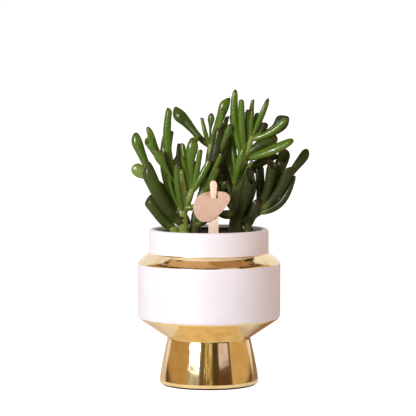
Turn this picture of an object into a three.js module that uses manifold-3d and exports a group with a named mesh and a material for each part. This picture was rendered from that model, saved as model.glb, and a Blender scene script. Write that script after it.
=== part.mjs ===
// A hobbit jade in its pot: a slip-cast pot with a foot and a collar, a nursery pot that hangs in it,
// soil, three leafy shoots and a flat wooden stake that carries a card tag.
// Millimetres, +Z up. The origin is the middle of the pot's base, and +Y runs to the back.
import * as THREE from 'three';
import { mergeVertices } from 'three/addons/utils/BufferGeometryUtils.js';
import Module from 'manifold-3d';

const wasm = await Module();
wasm.setup();

// Clearance between pieces that rest on or in each other
const GAP = 0.3;

// Pot: radii and heights of its outside, and its wall
const ROUND_SEGMENTS = 40;
const WALL = 5;
const FLOOR = 6;
const FOOT_RADIUS = 43.7;
const WAIST_RADIUS = 36.4;
const WAIST_HEIGHT = 41;
const BODY_RADIUS = 62.9;
const BODY_BOTTOM = 59;
const BODY_TOP = 107.8;
const COLLAR_RADIUS = 52.5;
const COLLAR_BOTTOM = 116;
const RIM_HEIGHT = 137;
const CORNER = 2.6;

// Nursery pot, which stands on the cone inside the pot
const NURSERY_RIM_RADIUS = 45;
const NURSERY_RIM_TOP = 134.8;
const NURSERY_RIM_DEPTH = 4;
const NURSERY_RIM_WALL = 2.2;
const NURSERY_BASE_RADIUS = 34;
const NURSERY_WALL = 1.2;

// Soil, with its mean height and the height of its lumps
const SOIL_TOP = 132.4;
const SOIL_LUMP = 0.8;
const ROOT_DEPTH = 104;

// Stake: a flat stick with a waist that the card hangs on
const STAKE_X = 3.9;
const STAKE_Y = -30;
const STAKE_THICKNESS = 1.7;
const STAKE_WIDTH = 8.9;
const STAKE_NECK = 4.6;
const STAKE_HEAD = 6.3;
const STAKE_BOTTOM = 98;
const STAKE_SHOULDER = 156;
const STAKE_NECK_BOTTOM = 164;
const STAKE_NECK_TOP = 172;
const STAKE_TOP = 181;

// Card tag: rows of height, left edge and right edge, with a slit that the stake comes through
const CARD_THICKNESS = 0.9;
const CARD_COLUMNS = 12;
const CARD_ROWS = [
  [145.4, -5.6, -1.2], [146.1, -7.6, 0.8], [148, -9.9, 4.3], [151, -11.9, 8.2], [154.5, -13.2, 11.8],
  [158, -13.8, 14.6], [161.5, -13.2, 16.9], [164, -12, 18], [165.6, -11.1, 18.3], [168, -9.1, 17.7],
  [169.8, -6.2, 16.1], [170.9, -2.9, 14.2], [171.5, 0.6, 11.4],
];
const SLIT_BOTTOM = 165.7;
const SLIT_TOP = 167.9;
const SLIT_LEFT = 1.2;
const SLIT_RIGHT = 7.6;
const BOW_DEPTH = 3.4;
const BOW_REACH = 5.4;

// Leaf forms. rows go from the root to the end of a leaf: the share of its length, its width there as a
// share of its full width, and how far it is shifted sideways there, in full widths. thick and flat are
// the thickness over the width at the root and at the end. slant is the length of the slanting end and
// cup the depth of its dish, both in widths.
const FORMS = {
  finger: {
    rows: [[0, 0.54, 0], [0.3, 0.94, 0], [0.5, 1, 0], [0.8, 0.92, 0], [1, 0.8, 0]],
    thick: 0.95, flat: 0.9, slant: 0.3, cup: 0, tip: 'round',
  },
  horn: {
    rows: [[0, 0.5, 0], [0.2, 0.64, 0], [0.45, 0.82, 0], [0.8, 0.98, 0], [1, 0.98, 0]],
    thick: 0.95, flat: 0.88, slant: 0.75, cup: 0.6, tip: 'open',
  },
  bowl: {
    rows: [[0, 0.44, 0], [0.2, 0.58, 0], [0.45, 0.76, 0], [0.8, 0.96, 0], [1, 1, 0]],
    thick: 0.95, flat: 0.88, slant: 1.15, cup: 0.5, tip: 'open',
  },
  dish: {
    rows: [[0, 0.36, 0], [0.55, 0.38, 0], [0.72, 0.5, 0], [0.87, 0.8, 0], [1, 1, 0]],
    thick: 0.95, flat: 0.85, slant: 0.85, cup: 0.3, tip: 'open',
  },
  hoof: {
    rows: [
      [0, 0.56, 0], [0.22, 0.72, 0], [0.5, 0.84, 0], [0.72, 0.95, -0.06], [0.85, 0.98, -0.14],
      [0.93, 0.64, -0.06], [1, 0.14, 0],
    ],
    thick: 0.95, flat: 0.85, slant: 0, cup: 0, tip: 'point',
  },
  wing: {
    rows: [
      [0, 0.31, 0], [0.3, 0.52, -0.03], [0.55, 0.63, 0], [0.68, 0.82, -0.03], [0.79, 1, -0.09],
      [0.91, 0.74, -0.1], [1, 0.14, 0],
    ],
    thick: 0.95, flat: 0.6, slant: 0, cup: 0, tip: 'point',
  },
  paddle: {
    rows: [
      [0, 0.42, 0], [0.4, 0.5, 0], [0.62, 0.6, 0], [0.75, 0.88, 0], [0.84, 1, 0], [0.93, 0.77, 0],
      [1, 0.18, 0],
    ],
    thick: 0.95, flat: 0.65, slant: 0, cup: 0, tip: 'point',
  },
  club: {
    rows: [
      [0, 0.46, 0], [0.4, 0.58, 0], [0.68, 0.66, 0], [0.82, 0.92, -0.04], [0.89, 1, -0.08],
      [0.95, 0.85, -0.05], [1, 0.18, 0],
    ],
    thick: 0.95, flat: 0.75, slant: 0, cup: 0, tip: 'point',
  },
  disc: {
    rows: [
      [0, 0.4, 0], [0.62, 0.48, 0], [0.73, 0.7, 0], [0.8, 0.91, 0], [0.87, 1, 0], [0.95, 0.82, 0],
      [1, 0.24, 0],
    ],
    thick: 0.95, flat: 0.35, slant: 0, cup: 0, tip: 'point',
  },
  blade: {
    rows: [[0, 0.5, 0], [0.2, 0.72, 0], [0.45, 0.96, 0], [0.7, 0.98, 0], [0.9, 0.8, 0], [1, 0.2, 0]],
    thick: 0.85, flat: 0.65, slant: 0, cup: 0, tip: 'point',
  },
};
const WIDE_LEAF = 8.4;
const WIDE_SIDES = 8;
const NARROW_SIDES = 6;
const LONGEST_SLANT = 0.5;

// Tips. rings are the rows past the last row of a leaf: their height as a share of the tip's own, and
// their width as a share of the leaf's end. height is the height of a tip over half the width of its end.
const TIPS = {
  point: { height: 0, rings: [] },
  round: { height: 0.95, rings: [[0.7, 0.8]] },
  open: { height: 0.35, rings: [[0.95, 0.94]] },
};
const RIM_SHARE = 0.35;
const RIM_DROP = 0.7;
const BLUNT = 0.05;

// Stems are lists of x, y, z and radius. A leaf is its form, root, tip, bow, width and, where it
// matters, the side that its open face turns to. The bow is how far the middle stands off the chord.
const LEFT_STEMS = [
  [[-22, -10, ROOT_DEPTH, 4.4], [-22, -10, 120, 4.4], [-22, -10, 134, 4.4], [-22.6, -10, 142, 4.6],
    [-23.6, -9.5, 151, 4.7], [-22.8, -8, 165, 3.7], [-23, -6, 178, 3.2], [-24, -5, 189, 2.6]],
  [[-29.4, -11, ROOT_DEPTH, 3.9], [-29.4, -11, 120, 3.9], [-29.4, -11, 134, 3.9], [-31.5, -11, 139, 3.6]],
  [[-23, -9, 152, 2.6], [-19.4, -8.5, 161, 2.9], [-15.4, -7, 169.5, 3.1], [-14.6, -6, 174, 2.2]],
];
const LEFT_LEAVES = [
  ['hoof', [-23, -12, 141], [-52.4, -22, 197.2], [-4.6, -2, -3.4], 13.6, [0, -1, 0]],
  ['hoof', [-29, -10, 136], [-50.8, -12, 167.8], [-2.8, 0, -2], 13.4, [0, -1, 0]],
  ['finger', [-23.5, -8, 151], [-37.4, -1, 220], [-7.7, 0, 0], 8.4, [0.8, 0.4, 0]],
  ['finger', [-23.5, -6, 166], [-34.6, -6, 244.2], [-7.6, 0, -1], 8.8, [0.8, -0.2, 0]],
  ['paddle', [-23.5, -7, 168], [-46.9, -22, 207.6], [0, -2, -1], 9, [0, -1, 0]],
  ['finger', [-23, -12, 152], [-28.2, -19, 195], [-1.5, -1, 0], 6.6, [0.6, 0.5, 0]],
  ['finger', [-24, -11, 154], [-35, -15, 187], [-2, 0, -1.5], 4.4],
  ['club', [-24, -7, 150], [-64.3, -4, 221.6], [-5.5, 0, -2], 10.6, [0, -1, 0]],
  ['disc', [-24, -4, 160], [-67.4, 0, 191.4], [0, 0, 2], 13, [0.2, -1, -0.1]],
  ['dish', [-21, -6, 168], [-54.6, -12, 219.2], [-1.6, -1, -1.2], 9.6, [-0.3, -0.95, 0]],
  ['disc', [-24, -4, 170], [-53.8, -3, 226.6], [-1.6, 0, -1], 6.8, [0, -1, 0]],
  ['finger', [-23.5, -2, 166], [-31.6, 3, 223.6], [-6.4, 0, 0], 5.4],
  ['finger', [-23, -10, 147], [-24, -17, 148.5], [0, 0, -0.5], 3.6],
  ['finger', [-23, -10, 143], [-24, -16.5, 144.6], [0, 0, -0.5], 3.6],
  ['finger', [-21.5, -11, 156], [-3, -14, 160], [0, 0, -1], 6.5],
  ['finger', [-15, -7, 168], [-24, -8, 202], [0, 0, 0], 5.2, [0.7, 0.4, 0.3]],
  ['finger', [-15, -7, 170], [-7.5, -8, 207.7], [0.8, 0, 0], 6.2, [-0.6, 0.6, 0]],
  ['finger', [-15, -7, 169], [1.2, -9, 198.8], [0.5, 0, -0.5], 7.2, [0.2, 0.6, 0.5]],
  ['wing', [-15.4, -7, 170], [-14.8, -9, 217.4], [-1.2, 0, 0], 12, [0, 1, 0]],
  ['bowl', [-15.4, -6, 171], [-11.4, -2, 222], [-3, 1, 0], 9.4, [-0.75, -0.3, 0.3]],
  ['finger', [-16, -7, 172], [-23.2, -3, 213], [-1, 0, 0], 6, [0.7, 0.4, 0]],
  ['finger', [-16, -6, 172], [-26.4, 3, 212.5], [-4, 0, 0], 6],
  ['finger', [-15, -6, 172], [-13.2, 2, 197.5], [0, 0, 0], 5],
  ['horn', [-23, -7, 158], [-34, 28, 196], [0, 3, -3], 9],
  ['paddle', [-22.5, -8, 146], [-32, 30, 170], [0, 2, -4], 9.5],
  ['horn', [-22, -7, 158], [-16, 26, 186], [0, 3, -3], 8.5],
  ['finger', [-23, -5, 178], [-25, 18, 200], [0, 2, -2], 6.5],
  ['finger', [-23, -10, 160], [-37.8, -12.5, 205.6], [-1, 0, 0], 5.4],
  ['finger', [-22, -6, 149], [-17, 9, 140], [-1, 1, 1], 7.6],
  ['horn', [-22, -8, 148], [-16, 6, 178], [0, 0, 0], 9],
];

const CENTRE_STEMS = [
  [[-13.5, -4, ROOT_DEPTH, 4.1], [-13.5, -4, 120, 4.1], [-13.5, -4, 134, 4.1], [-11.6, -3.8, 147, 4.2],
    [-8, -2.5, 160, 4], [-4, 0, 175, 3.4], [-0.6, 2.5, 191, 3.1], [1.2, 4, 206, 3.1], [1.6, 4.5, 211, 2.2]],
];
const CENTRE_LEAVES = [
  ['wing', [1, 5, 208], [-30.2, 18, 243.6], [-0.8, 0, -0.7], 12.6, [0, -1, 0]],
  ['finger', [1, 5, 208], [-6.3, 9, 235], [-0.7, 0, 0], 4.6],
  ['paddle', [1, 5, 209], [2.3, 3, 238.4], [-0.4, 0, 0], 6.8, [0.3, 0.8, 0]],
  ['finger', [-1, 0, 176], [9.2, -2, 226.8], [1.5, -1, -1], 11, [-0.3, 0.8, 0]],
  ['wing', [2, 5, 206], [18.4, 2, 252], [-2.4, 0, -0.8], 10.2, [0, -1, 0]],
  ['finger', [2, 3, 204], [12.4, -5, 243], [1, 0, 0], 5.4, [-0.5, 0.7, 0]],
  ['finger', [2, 5, 202], [16.4, 6, 236.5], [1.4, 0, -1], 5.8],
  ['finger', [2, 6, 196], [13.9, 9, 230.5], [1, 0, -1], 7.4],
  ['finger', [-0.5, 1, 188], [18.8, -6, 229.6], [1.5, 0, -1], 6.8, [-0.3, -0.9, 0]],
  ['finger', [-1, 1, 182], [16.8, 2.5, 220], [2, 0, -3], 9.2, [0, -1, 0.2]],
  ['finger', [-5.5, -3, 167], [11, -11, 204.5], [0.5, -1, -0.5], 4.9, [-0.5, 0.6, 0]],
  ['finger', [-6.5, -3, 164], [8.4, -13, 192.3], [1, 0, 0], 7.2, [-0.4, 0.7, 0.3]],
  ['horn', [-7.5, -2, 161], [14, -21, 180.4], [1, -3, -3], 9.6, [0, -0.55, 0.9]],
  ['horn', [-6, -2, 163], [14, 3, 192.5], [1, 0, -3], 10, [0.3, -0.6, 0.7]],
  ['finger', [-9, -3, 154], [11, 2, 176], [1, 0, -2.5], 9],
  ['horn', [0, 3, 190], [6, 38, 214], [0, 3, -3], 9],
  ['paddle', [-4, 0, 174], [-3, 33, 184], [0, 3, -4], 8.5],
  ['finger', [1, 5, 207], [8, 36, 230], [0, 3, -3], 7],
  ['horn', [-7, -2, 162], [3, 34, 176], [0, 3, -4], 9],
  ['finger', [1.4, 5, 209], [10, 22, 236], [0, 2, -2], 5.5],
  ['finger', [-13, -5, 140.5], [1, -10, 149], [1, 0, -1], 8],
];

const RIGHT_STEMS = [
  [[23.8, 2, ROOT_DEPTH, 6.3], [23.8, 2, 120, 6.3], [23.8, 2, 134, 6.3], [23.6, 2, 149, 5.6],
    [24.3, 2, 165, 4.8], [26, 1, 178, 4.4], [29, 1, 192, 4], [32.5, 2, 203.5, 3.8], [35.6, 3, 213, 3.4],
    [37, 3.6, 221, 2.4]],
  [[33.8, -0.5, ROOT_DEPTH, 4], [33.8, -0.5, 120, 4], [33.8, -0.5, 134, 4], [35.6, -1, 139, 3.7]],
  [[24, 2, 141, 3.4], [33, 0.5, 145.5, 3.5], [43.5, -0.5, 151.5, 3.6], [47, -0.8, 153.6, 2.4]],
];
const RIGHT_LEAVES = [
  ['bowl', [24, -1, 139], [38.4, -16, 191], [-0.6, -2, 0], 12.4, [0.75, -0.66, 0.1]],
  ['blade', [31.8, -1, 134], [42.6, -8, 163.4], [0.4, 0, -0.3], 9.2, [0, -1, 0]],
  ['finger', [24, 1, 144], [41.2, -3, 181], [2, 0, -2], 7.8],
  ['finger', [43, 0, 151], [42, 2, 190.5], [1.4, 0, 0], 5.6, [0.8, 0.4, 0]],
  ['finger', [43.5, 1, 151], [46, 7, 192], [1, 0, 0], 6.4],
  ['horn', [43.5, -1, 151.5], [55.8, -8, 198], [2, 0, -1], 10.4, [0.45, -0.5, 0.75]],
  ['bowl', [43.5, 0, 151.5], [68.8, 6, 207.8], [0.4, 0, -2], 12, [0.1, -1, 0.1]],
  ['horn', [45.5, -2, 154], [70.4, -9, 193.8], [4, 0, -2.8], 11, [-0.3, 0.5, 0.8]],
  ['finger', [43, -2, 151], [74, -4, 185.5], [5.2, 0, -7.4], 7.8, [-0.8, 0, 0.6]],
  ['club', [44, 2, 152], [87, 12, 206.4], [1, 0, -1.6], 9.6, [0, 1, 0]],
  ['finger', [23, -1.5, 174], [30.8, -10, 209], [-1.4, -2, 0], 7.6, [-0.3, 0.8, 0]],
  ['finger', [25.5, 0, 174], [39, -6, 197], [0, 0, 2], 4.8],
  ['blade', [31, 0, 198], [73.6, -14, 215.6], [0, -1, -1.5], 10.4, [-0.1, -0.75, 0.65]],
  ['finger', [36, 3, 216], [68.4, -6, 235], [1.5, 0, -4.2], 7.8, [-0.3, -0.5, 0.8]],
  ['wing', [36, 4, 215], [70, 8, 235.8], [2.4, 0, -2.8], 15.6, [0, -1, 0]],
  ['horn', [32, 3, 200], [59, 2, 217], [0, 0, 0], 10.4, [-0.3, 0.3, 0.9]],
  ['finger', [30.5, 1, 196], [23.6, -1, 260.2], [-4, 0, 0], 8, [0.7, 0.6, 0]],
  ['finger', [32, 1, 202], [28.6, -7, 251.5], [-1.8, -1, 0], 6.4, [0.2, 0.8, 0]],
  ['finger', [36, 3, 216], [38.5, 4, 251], [-0.5, 0, 0], 5.2, [-0.8, 0.2, 0]],
  ['finger', [35, 3, 212], [34.3, -2, 242.5], [-1, 0, 0], 4.6],
  ['finger', [36, 3, 214], [38.2, -3, 241], [-0.7, 0, 0], 5.2, [0.2, 0.8, 0]],
  ['finger', [36.5, 4, 216], [42.8, 10, 239.5], [0, 0, 0], 5.8],
  ['blade', [36.5, 3, 216], [52, 0, 251.6], [0.6, 0, -0.6], 7.4, [-0.7, 0.4, 0.3]],
  ['club', [36.5, 4, 216], [50, 3, 230], [1.5, 0, -2], 8, [0, -1, 0]],
  ['finger', [36.5, 5, 217], [46, 17, 227], [0, 0, 0], 6],
  ['finger', [33, 4, 207], [19.4, 12, 237], [-3, 0, -2], 4.2],
  ['finger', [22, 0, 149.5], [7, -6, 152], [0, 0, -1], 9.6],
  ['finger', [26.5, 2, 182], [52, 9, 198.5], [0, 0, -2], 7],
  ['horn', [27, 2, 186], [55, 13, 209.5], [0, 0, -3], 9.5],
  ['horn', [23, 4, 150], [8, 17, 186], [-1, 2, -2], 9, [0.2, -0.8, 0.6]],
  ['finger', [23, 4, 160], [13, 13, 198], [-1, 0, -2], 8],
  ['horn', [25, 4, 172], [16, 14, 215], [-2, 1, -2], 8.5, [0.2, -0.8, 0.4]],
  ['finger', [25, 4, 174], [22, 10, 224], [-0.5, 0, 0], 6.4],
  ['horn', [23, 3, 148], [30, 40, 174], [0, 3, -4], 9.5],
  ['horn', [26, 2, 179], [32, 42, 206], [0, 3, -4], 9],
  ['horn', [43.5, 0, 152], [54, 34, 180], [0, 3, -4], 9],
  ['finger', [35.5, 3, 213], [34, 34, 240], [0, 3, -3], 7],
  ['paddle', [23, 3, 152], [17.5, 34, 178], [0, 3, -4], 8.5],
  ['paddle', [30, 1, 196], [45, 30, 210], [0, 2, -3], 8],
  ['finger', [44, 0, 152], [62, 24, 188], [2, 2, -3], 7.5],
];

const UP = new THREE.Vector3(0, 0, 1);
const FULL_TURN = 2 * Math.PI;

function vector([x, y, z]) {
  return new THREE.Vector3(x, y, z);
}

// A closed geometry as a solid that can be joined and cut
function solidOf(geometry) {
  geometry.deleteAttribute('normal');
  geometry.deleteAttribute('uv');
  const merged = mergeVertices(geometry, 1e-4);
  return new wasm.Manifold(new wasm.Mesh({
    numProp: 3,
    vertProperties: Float32Array.from(merged.attributes.position.array),
    triVerts: Uint32Array.from(merged.index.array),
  }));
}

// A solid as a geometry again
function geometryOf(solid) {
  const { vertProperties, triVerts, numProp } = solid.getMesh();
  const points = new THREE.BufferAttribute(Float32Array.from(vertProperties), numProp);
  const geometry = new THREE.BufferGeometry().setAttribute('position', points);
  return geometry.setIndex(new THREE.BufferAttribute(Uint32Array.from(triVerts), 1));
}

// A ball whose rows of points, from one pole to the other, are laid out anew by pointAt
function ballOf(sides, rows, pointAt) {
  const geometry = new THREE.SphereGeometry(1, sides, rows);
  const { position, uv } = geometry.attributes;
  for (let i = 0; i < position.count; i += 1) {
    const row = Math.round((1 - uv.getY(i)) * rows);
    const side = Math.round(uv.getX(i) * sides) % sides;
    const { x, y, z } = pointAt(row, side * FULL_TURN / sides);
    position.setXYZ(i, x, y, z);
  }
  return geometry;
}

// A solid of revolution about the Z axis from a profile of radii and heights
function turned(profile, segments = ROUND_SEGMENTS) {
  const points = profile.map(([radius, height]) => new THREE.Vector2(radius, height));
  return new THREE.LatheGeometry(points, segments).rotateX(Math.PI / 2);
}

// Points of a round corner between two directions, given in degrees
function corner(radius, height, size, from, to, steps) {
  return Array.from({ length: steps + 1 }, (_, i) => {
    const angle = THREE.MathUtils.degToRad(from + (to - from) * i / steps);
    return [radius + size * Math.cos(angle), height + size * Math.sin(angle)];
  });
}

// Pot

const CONE_SLOPE = (BODY_BOTTOM - WAIST_HEIGHT) / (BODY_RADIUS - WAIST_RADIUS);
const CONE_DROP = WALL * Math.hypot(1, CONE_SLOPE);

// Height of the cone's inside at a radius
function coneInside(radius) {
  return WAIST_HEIGHT + (radius - WAIST_RADIUS) * CONE_SLOPE + CONE_DROP;
}

function potGeometry() {
  const rim = WALL / 2;
  const inner = COLLAR_RADIUS - WALL;
  const bodyInner = BODY_RADIUS - WALL;
  const waistInner = WAIST_RADIUS - WALL;
  const shoulderSlope = (COLLAR_BOTTOM - BODY_TOP) / (BODY_RADIUS - COLLAR_RADIUS);
  const shoulderDrop = WALL * Math.hypot(1, shoulderSlope);
  return turned([
    [0, 0],
    [FOOT_RADIUS - 1.7, 0],
    [FOOT_RADIUS - 0.4, 0.9],
    [FOOT_RADIUS, 3],
    [WAIST_RADIUS + 0.2, WAIST_HEIGHT - 1],
    [WAIST_RADIUS + 0.2, WAIST_HEIGHT + 0.4],
    ...corner(BODY_RADIUS - CORNER, BODY_BOTTOM + 1.4, CORNER, -56, 0, 4),
    ...corner(BODY_RADIUS - CORNER, BODY_TOP - 2.2, CORNER, 0, 51, 3),
    [COLLAR_RADIUS + 0.6, COLLAR_BOTTOM - 0.4],
    [COLLAR_RADIUS, COLLAR_BOTTOM + 0.5],
    ...corner(COLLAR_RADIUS - rim, RIM_HEIGHT - rim, rim, 0, 180, 6),
    [inner, COLLAR_BOTTOM + (COLLAR_RADIUS - inner) * shoulderSlope - shoulderDrop],
    [bodyInner, COLLAR_BOTTOM + (COLLAR_RADIUS - bodyInner) * shoulderSlope - shoulderDrop],
    [bodyInner, coneInside(bodyInner)],
    [waistInner, coneInside(waistInner)],
    [waistInner, WAIST_HEIGHT - 1],
    [FOOT_RADIUS - WALL - 1.4, FLOOR + 1.5],
    [FOOT_RADIUS - WALL - 3, FLOOR],
    [0, FLOOR],
  ]);
}

// Nursery pot

const NURSERY_BOTTOM = coneInside(NURSERY_BASE_RADIUS) + GAP;
const NURSERY_TOP_RADIUS = NURSERY_RIM_RADIUS - 1.5;

function nurseryPotGeometry() {
  const rimInner = NURSERY_RIM_RADIUS - NURSERY_RIM_WALL;
  return turned([
    [0, NURSERY_BOTTOM],
    [NURSERY_BASE_RADIUS, NURSERY_BOTTOM],
    [NURSERY_TOP_RADIUS, NURSERY_RIM_TOP - NURSERY_RIM_DEPTH],
    [NURSERY_RIM_RADIUS, NURSERY_RIM_TOP - NURSERY_RIM_DEPTH + 0.4],
    [NURSERY_RIM_RADIUS, NURSERY_RIM_TOP - 0.5],
    [NURSERY_RIM_RADIUS - 0.5, NURSERY_RIM_TOP],
    [rimInner + 0.5, NURSERY_RIM_TOP],
    [rimInner, NURSERY_RIM_TOP - 0.5],
    [NURSERY_TOP_RADIUS - NURSERY_WALL, NURSERY_RIM_TOP - NURSERY_RIM_DEPTH],
    [NURSERY_BASE_RADIUS - NURSERY_WALL, NURSERY_BOTTOM + NURSERY_WALL],
    [0, NURSERY_BOTTOM + NURSERY_WALL],
  ], 40);
}

// Soil

// Height of the lumpy top of the soil, which runs out level at its edge
function soilHeight(x, y) {
  const lumps = Math.sin(0.31 * x + 1) * Math.cos(0.27 * y - 0.6) + 0.6 * Math.sin(0.62 * x - 0.47 * y);
  return SOIL_TOP + SOIL_LUMP * lumps;
}

// A hole a little wider than the stem that stands in it
function stemHole([x, y, bottom, radius]) {
  const height = RIM_HEIGHT - bottom;
  const hole = new THREE.CylinderGeometry(radius + GAP, radius + GAP, height + GAP, 12);
  return solidOf(hole.rotateX(Math.PI / 2).translate(x, y, bottom - GAP + height / 2));
}

function soilGeometry() {
  const topRadius = NURSERY_TOP_RADIUS - NURSERY_WALL - GAP;
  const bottomRadius = NURSERY_BASE_RADIUS - NURSERY_WALL - GAP;
  const bottom = NURSERY_BOTTOM + NURSERY_WALL + GAP;
  const lumpy = [1, 0.86, 0.72, 0.57, 0.42, 0.27, 0.13, 0].map((share) => [topRadius * share, SOIL_TOP]);
  const soil = turned([[0, bottom], [bottomRadius, bottom], ...lumpy], 36);
  const { position } = soil.attributes;
  for (let i = 0; i < position.count; i += 1) {
    const x = position.getX(i);
    const y = position.getY(i);
    if (position.getZ(i) > SOIL_TOP - 1) {
      position.setZ(i, soilHeight(x, y));
    }
  }
  const slot = new THREE.BoxGeometry(
    STAKE_WIDTH + 2 * GAP,
    STAKE_THICKNESS + 2 * GAP,
    RIM_HEIGHT - STAKE_BOTTOM,
  );
  slot.translate(STAKE_X, STAKE_Y, (RIM_HEIGHT + STAKE_BOTTOM) / 2 - GAP);
  const rooted = [...LEFT_STEMS, ...CENTRE_STEMS, ...RIGHT_STEMS].filter(([root]) => root[2] === ROOT_DEPTH);
  const holes = rooted.map(([root]) => stemHole(root));
  return geometryOf(wasm.Manifold.difference([solidOf(soil), solidOf(slot), ...holes]));
}

// Stake and tag

function stakeGeometry() {
  const half = STAKE_WIDTH / 2;
  const neck = STAKE_NECK / 2;
  const head = STAKE_HEAD / 2;
  const point = 8;
  const outline = new THREE.Shape();
  outline.moveTo(-half * 0.4, STAKE_BOTTOM);
  outline.lineTo(half * 0.4, STAKE_BOTTOM);
  outline.lineTo(half, STAKE_BOTTOM + point);
  outline.lineTo(half, STAKE_SHOULDER);
  outline.bezierCurveTo(half, STAKE_NECK_BOTTOM - 3, neck, STAKE_NECK_BOTTOM - 3, neck, STAKE_NECK_BOTTOM);
  outline.lineTo(neck, STAKE_NECK_TOP);
  outline.quadraticCurveTo(neck + 0.1, STAKE_NECK_TOP + 2, head, STAKE_NECK_TOP + 4);
  outline.lineTo(head, STAKE_TOP - head);
  outline.absarc(0, STAKE_TOP - head, head, 0, Math.PI, false);
  outline.lineTo(-head, STAKE_NECK_TOP + 4);
  outline.quadraticCurveTo(-neck - 0.1, STAKE_NECK_TOP + 2, -neck, STAKE_NECK_TOP);
  outline.lineTo(-neck, STAKE_NECK_BOTTOM);
  outline.bezierCurveTo(-neck, STAKE_NECK_BOTTOM - 3, -half, STAKE_NECK_BOTTOM - 3, -half, STAKE_SHOULDER);
  outline.lineTo(-half, STAKE_BOTTOM + point);
  outline.closePath();
  const stake = new THREE.ExtrudeGeometry(outline, {
    depth: STAKE_THICKNESS, bevelEnabled: false, curveSegments: 5,
  });
  return stake.rotateX(Math.PI / 2).translate(STAKE_X, STAKE_Y + STAKE_THICKNESS / 2, 0);
}

// How far the card is bowed back round the stake, which it passes behind above the slit
function cardBow(x, z) {
  const share = THREE.MathUtils.smoothstep(z, CARD_ROWS[8][0], CARD_ROWS[9][0]);
  return BOW_DEPTH * share / (1 + ((x - STAKE_X) / BOW_REACH) ** 6);
}

function tagGeometry() {
  const rows = CARD_ROWS.length - 1;
  const card = new THREE.BoxGeometry(1, 1, 1, CARD_COLUMNS, 1, rows);
  const middle = STAKE_Y - STAKE_THICKNESS / 2 - GAP - CARD_THICKNESS / 2;
  const { position } = card.attributes;
  for (let i = 0; i < position.count; i += 1) {
    const [z, left, right] = CARD_ROWS[Math.round((position.getZ(i) + 0.5) * rows)];
    const x = left + (right - left) * (position.getX(i) + 0.5);
    position.setXYZ(i, x, middle + position.getY(i) * CARD_THICKNESS + cardBow(x, z), z);
  }
  const slit = new THREE.BoxGeometry(SLIT_RIGHT - SLIT_LEFT, 12, SLIT_TOP - SLIT_BOTTOM);
  slit.translate((SLIT_LEFT + SLIT_RIGHT) / 2, middle, (SLIT_TOP + SLIT_BOTTOM) / 2);
  return geometryOf(solidOf(card).subtract(solidOf(slit)));
}

// Leafy shoots

// The side that a leaf's open face turns to where none is given: up, and in towards the stem
function inwardFace(chord) {
  const out = new THREE.Vector3(chord.x, chord.y, 0).normalize();
  return UP.clone().addScaledVector(out, -0.6);
}

// A leaf: a tube along a bowed midrib that follows the rows of its form, with a pointed or a rounded tip,
// or a slanting end with a dish in it
function leaf([formName, root, tip, bow, width, face]) {
  const form = FORMS[formName];
  const start = vector(root);
  const end = vector(tip);
  const middle = start.clone().lerp(end, 0.5).addScaledVector(vector(bow), 2);
  const rib = new THREE.QuadraticBezierCurve3(start, middle, end);
  const chord = end.clone().sub(start);
  const open = face ? vector(face) : inwardFace(chord);
  const slant = Math.min(form.slant * width / chord.length(), LONGEST_SLANT);
  const { height, rings } = TIPS[form.tip];
  const [, endWidth] = form.rows[form.rows.length - 1];
  const tipShare = height * endWidth * width / 2 / chord.length();

  const onSkin = ([level, wide, shift], angle) => {
    const share = level * (1 - slant * (1 + Math.sin(angle)) / 2);
    const along = rib.getTangent(share);
    const front = open.clone().addScaledVector(along, -open.dot(along)).normalize();
    const side = along.clone().cross(front);
    const half = wide * width / 2;
    const depth = half * THREE.MathUtils.lerp(form.thick, form.flat, share);
    return rib.getPoint(share)
      .addScaledVector(side, shift * width + half * Math.cos(angle))
      .addScaledVector(front, depth * Math.sin(angle));
  };

  const rows = [
    ...form.rows.map(([share, wide, shift]) => [share * (1 - tipShare), wide, shift]),
    ...rings.map(([share, wide]) => [1 - tipShare * (1 - share), wide * endWidth, 0]),
  ];
  const last = rows[rows.length - 1];
  const quarter = FULL_TURN / 4;
  const [right, high, left, low] = [0, 1, 2, 3].map((turn) => onSkin(last, turn * quarter));
  const rim = right.clone().lerp(left, 0.5);
  const outward = high.clone().sub(low).cross(right.clone().sub(left)).normalize();
  const cup = form.cup * width;
  const sides = width > WIDE_LEAF ? WIDE_SIDES : NARROW_SIDES;
  const sunk = form.cup ? 1 : 0;
  return solidOf(ballOf(sides, rows.length + 1 + sunk, (row, angle) => {
    if (row === 0) {
      return start;
    }
    if (row <= rows.length) {
      return onSkin(rows[row - 1], angle);
    }
    if (!sunk) {
      return rim.clone().lerp(high.clone().lerp(low, 0.5), 0.5).addScaledVector(outward, BLUNT * width);
    }
    const drop = row === rows.length + 1 ? RIM_DROP : 1;
    const place = drop < 1 ? onSkin(last, angle).lerp(rim, RIM_SHARE) : rim.clone();
    return place.addScaledVector(outward, -cup * drop);
  }));
}

// A stem: a round tube through its points, with a blunt top
const STEM_SIDES = 10;
const STEM_STEPS = 2;

function stem(points) {
  const path = new THREE.CatmullRomCurve3(points.map(vector), false, 'centripetal');
  const spans = points.length - 1;
  const rings = spans * STEM_STEPS;
  const across = new THREE.Vector3(0, 1, 0);
  return solidOf(ballOf(STEM_SIDES, rings + 2, (row, angle) => {
    const share = THREE.MathUtils.clamp((row - 1) / rings, 0, 1);
    const centre = path.getPoint(share);
    if (row === 0) {
      return centre;
    }
    const along = path.getTangent(share);
    const span = Math.min(Math.floor(share * spans), spans - 1);
    const radius = THREE.MathUtils.lerp(points[span][3], points[span + 1][3], share * spans - span);
    if (row > rings + 1) {
      return centre.addScaledVector(along, radius * 0.5);
    }
    const front = across.clone().addScaledVector(along, -across.dot(along)).normalize();
    const side = along.clone().cross(front);
    return centre
      .addScaledVector(side, radius * Math.cos(angle))
      .addScaledVector(front, radius * Math.sin(angle));
  }));
}

// A shoot: its stems and leaves in one body, with sealed hollows and loose scraps left out
const SMOOTHING = 0.23;

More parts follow.
